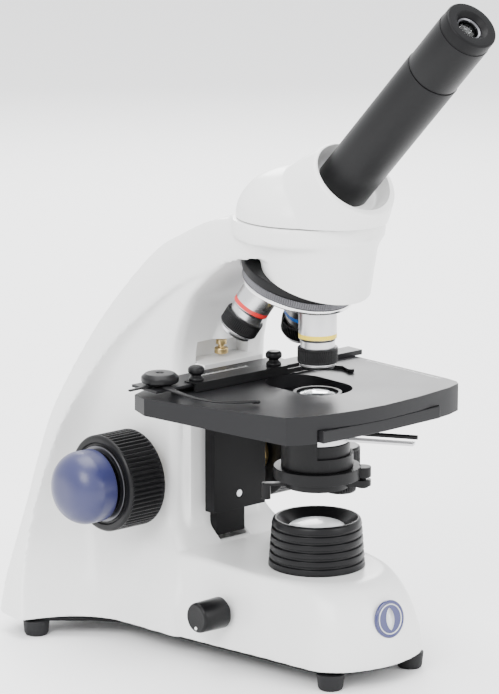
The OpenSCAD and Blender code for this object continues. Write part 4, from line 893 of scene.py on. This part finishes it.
satin_chrome = finish("satin_chrome", (0.63, 0.63, 0.64), (0.56, 0.56, 0.57), (0.24, 0.32), 2200, 0.00001,
                      metallic=1.0)
powers = (("objective_10x", 33, (0.80, 0.60, 0.02), 0), ("objective_4x", 30, (0.62, 0.02, 0.02), 1),
          ("objective_40x", 41, (0.02, 0.14, 0.55), 2))
grips, lenses = [], []
for node, length, ring_colour, seat_number in powers:
    direction = seat_directions[seat_number]
    seat_point = cone_top + 61.5 * direction
    barrel = eased([(4.05, -4), (10.1, -4, 0.3), (10.1, 0), (10.95, 0.05, 0.3),
                    (10.95, length - 17.6, 0.4), (9.95, length - 16.5, 0.3), (9.95, length - 2.7),
                    (10.5, length - 2.3, 0.2), (9.4, length - 0.1, 0.5), (6.5, length, 0.3),
                    (4.05, length - 1.6, 0.2)], 0.15, closed=True)
    place(revolved(node + "_turned", barrel, satin_chrome, seat_point, direction, 112), "nosepiece",
          "chrome", node)
    paint = finish(node + "_ring", ring_colour, tuple(0.85 * c for c in ring_colour), (0.3, 0.4), 900,
                   0.00001)
    top = max(length - 20.4, 4)
    band = eased([(10.9, top), (11, top, 0.05), (11, top + 2.5, 0.05), (10.9, top + 2.5)], 0.02,
                 closed=True)
    place(revolved(node + "_band", band, paint, seat_point, direction, 112), "nosepiece", "aluminium")
    body = dense(eased([(10.02, 0), (11.2, 0, 0.3), (11.6, 0.5, 0.2), (11.6, 8.5, 0.2), (11.2, 9, 0.3),
                        (10.02, 9)], 0.1,
                       closed=True), 0.8)
    grips.append(revolved("grip", body, black_plastic, seat_point + direction * (length - 12.4),
                          direction, 60 * 8, knurl(60, 0.035, 0.7, 8.3)))
    front = [(0, length - 2.4), (3.95, length - 2.4), (3.95, length - 1.0), (2, length - 0.6),
             (0, length - 0.5)]
    lenses.append(revolved("lens", front, lens_glass, seat_point, direction, 32))
place(merged("grips_moulded", grips, black_plastic), "nosepiece", "black_plastic", "objective_grips")
place(merged("objective_glasses", lenses, lens_glass), "nosepiece", "glass", "objective_lenses")


# ---- Head ----
# A steel dovetail ring is fixed in the arm and the head's flange turns in it, held by a small side
# screw. The casting above is a low dome that rises into a dished collar round the foot of the viewing
# tube.

place(revolved("ring_turned", eased([(28.05, 254.5), (33, 254.5), (33, 260.4, 0.3), (28.05, 260.4, 0.3)],
                                    0.2,
                                    closed=True), dark_steel, steps=128), "frame", "steel", "head_ring")
place(revolved("flange_turned", eased([(16, 254.7), (28, 254.7, 0.3), (28, 260.85), (16, 260.85)], 0.2,
                                      closed=True),
               dark_steel, steps=128), "head", "steel", "head_flange")
tube_axis = np.array([0, -np.sqrt(0.5), np.sqrt(0.5)])
prism_centre = np.array([0, 0, 262.0])
dome_angles = np.radians(np.linspace(0, 90, 30))[:-1]
dome = [(41.4 * np.cos(a) ** 0.80, 263.2 + 26.6 * np.sin(a) ** 1.12) for a in dome_angles]
down_front = np.array([0, -np.sqrt(0.5), -np.sqrt(0.5)])
shell = [
    revolved("dome", [(0, 256), (40.6, 256), (41.4, 261)] + dome + [(0, 289.8)], cast_paint, (0, 8, 0)),
    revolved("shoulder", eased([(0, -14), (34.5, -12), (35.5, 4, 6), (29.5, 28, 6), (25.6, 39.3, 1.0),
                                (0, 39.3)], 1),
             cast_paint, prism_centre + 3.5 * down_front, tube_axis),
]
head = merged("head_sculpted", shell, cast_paint)
fused(head, 0.9, 16)
cutters = [
    block("below", (-80, -80, 200), (80, 80, 261.2), cast_paint),
    revolved("bore", [(0, 21), (16.0, 21), (16.0, 70), (0, 70)], cast_paint, prism_centre, tube_axis),
    revolved("bowl", [(0, 30)] + [(18.3 + 4.9 * u**0.8, 30 + 9.7 * u**1.5) for u in np.linspace(0, 1, 10)]
             + [(23.6, 60), (0, 60)], cast_paint, prism_centre + 2.2 * down_front, tube_axis),
    revolved("light_way", [(0, -2), (9, -2), (9, 30), (0, 30)], cast_paint, prism_centre, tube_axis),
    block("prism_room", (-8.8, -8.8, 250), (8.8, 8.8, 270.8), cast_paint),
]
cut_away(head, cutters, cast_paint, 38)
place(head, "head", "cast_paint", "head_casting")
place(revolved("head_screw_turned", eased([(0, 28.3), (1.6, 28.3), (1.6, 42, 0.4), (0, 42)], 0.1),
               dark_steel, (0, 0, 257.5), (1, 0, 0), 32), "frame", "steel", "head_screw")


# ---- Prism, viewing tube and eyepiece ----
# The prism in the head turns the light into the black tube. The eyepiece is pushed into the tube from
# above; its flat cap has a bevelled recess with a bright ring round the eye lens.

painted("prism", lens_glass)
tube = eased([(11.65, 21), (15.9, 21), (15.9, 129.8, 0.5), (11.65, 130, 0.4)], 0.3, closed=True)
place(revolved("tube_turned", tube, black_paint, prism_centre, tube_axis, 128), "head", "black_paint",
      "eyepiece_tube")
sleeve = eased([(10.2, 95), (11.6, 95, 0.4), (11.6, 130.2), (15.5, 130.2, 0.4), (15.5, 163), (10.2, 163)],
               0.15, closed=True)
place(revolved("eyepiece_turned", sleeve, black_paint, prism_centre, tube_axis, 128), "eyepiece",
      "black_paint", "eyepiece_body")
top_cap = eased([(6.05, 163), (15.2, 163, 0.15), (15.2, 170.2, 0.5), (14.5, 171, 0.5), (9.6, 171, 0.3),
                 (7.3, 168.3, 0.2), (7.2, 166.5), (6.05, 166.5)], 0.1, closed=True)
place(revolved("cap_top", top_cap, black_matte, prism_centre, tube_axis, 128), "eyepiece",
      "black_plastic", "eyepiece_cap")
bright = eased([(6.1, 166.6), (7.1, 166.6), (7.1, 167.9, 0.2), (6.1, 167.3, 0.1)], 0.1, closed=True)
place(revolved("eye_ring", bright, dark_steel, prism_centre, tube_axis, 96), "eyepiece", "steel")
eye = [(0, 163.4), (6, 163.4), (6, 165.8), (4, 166.2), (2, 166.35), (0, 166.4)]
field = [(0, 97.2), (10.1, 97.2), (10.1, 99.2), (5, 99.9), (0, 100.1)]
eyepiece_glasses = [revolved("lens", p, lens_glass, prism_centre, tube_axis, 64) for p in (eye, field)]
place(merged("eyepiece_glasses", eyepiece_glasses, lens_glass), "eyepiece", "glass", "eyepiece_lenses")
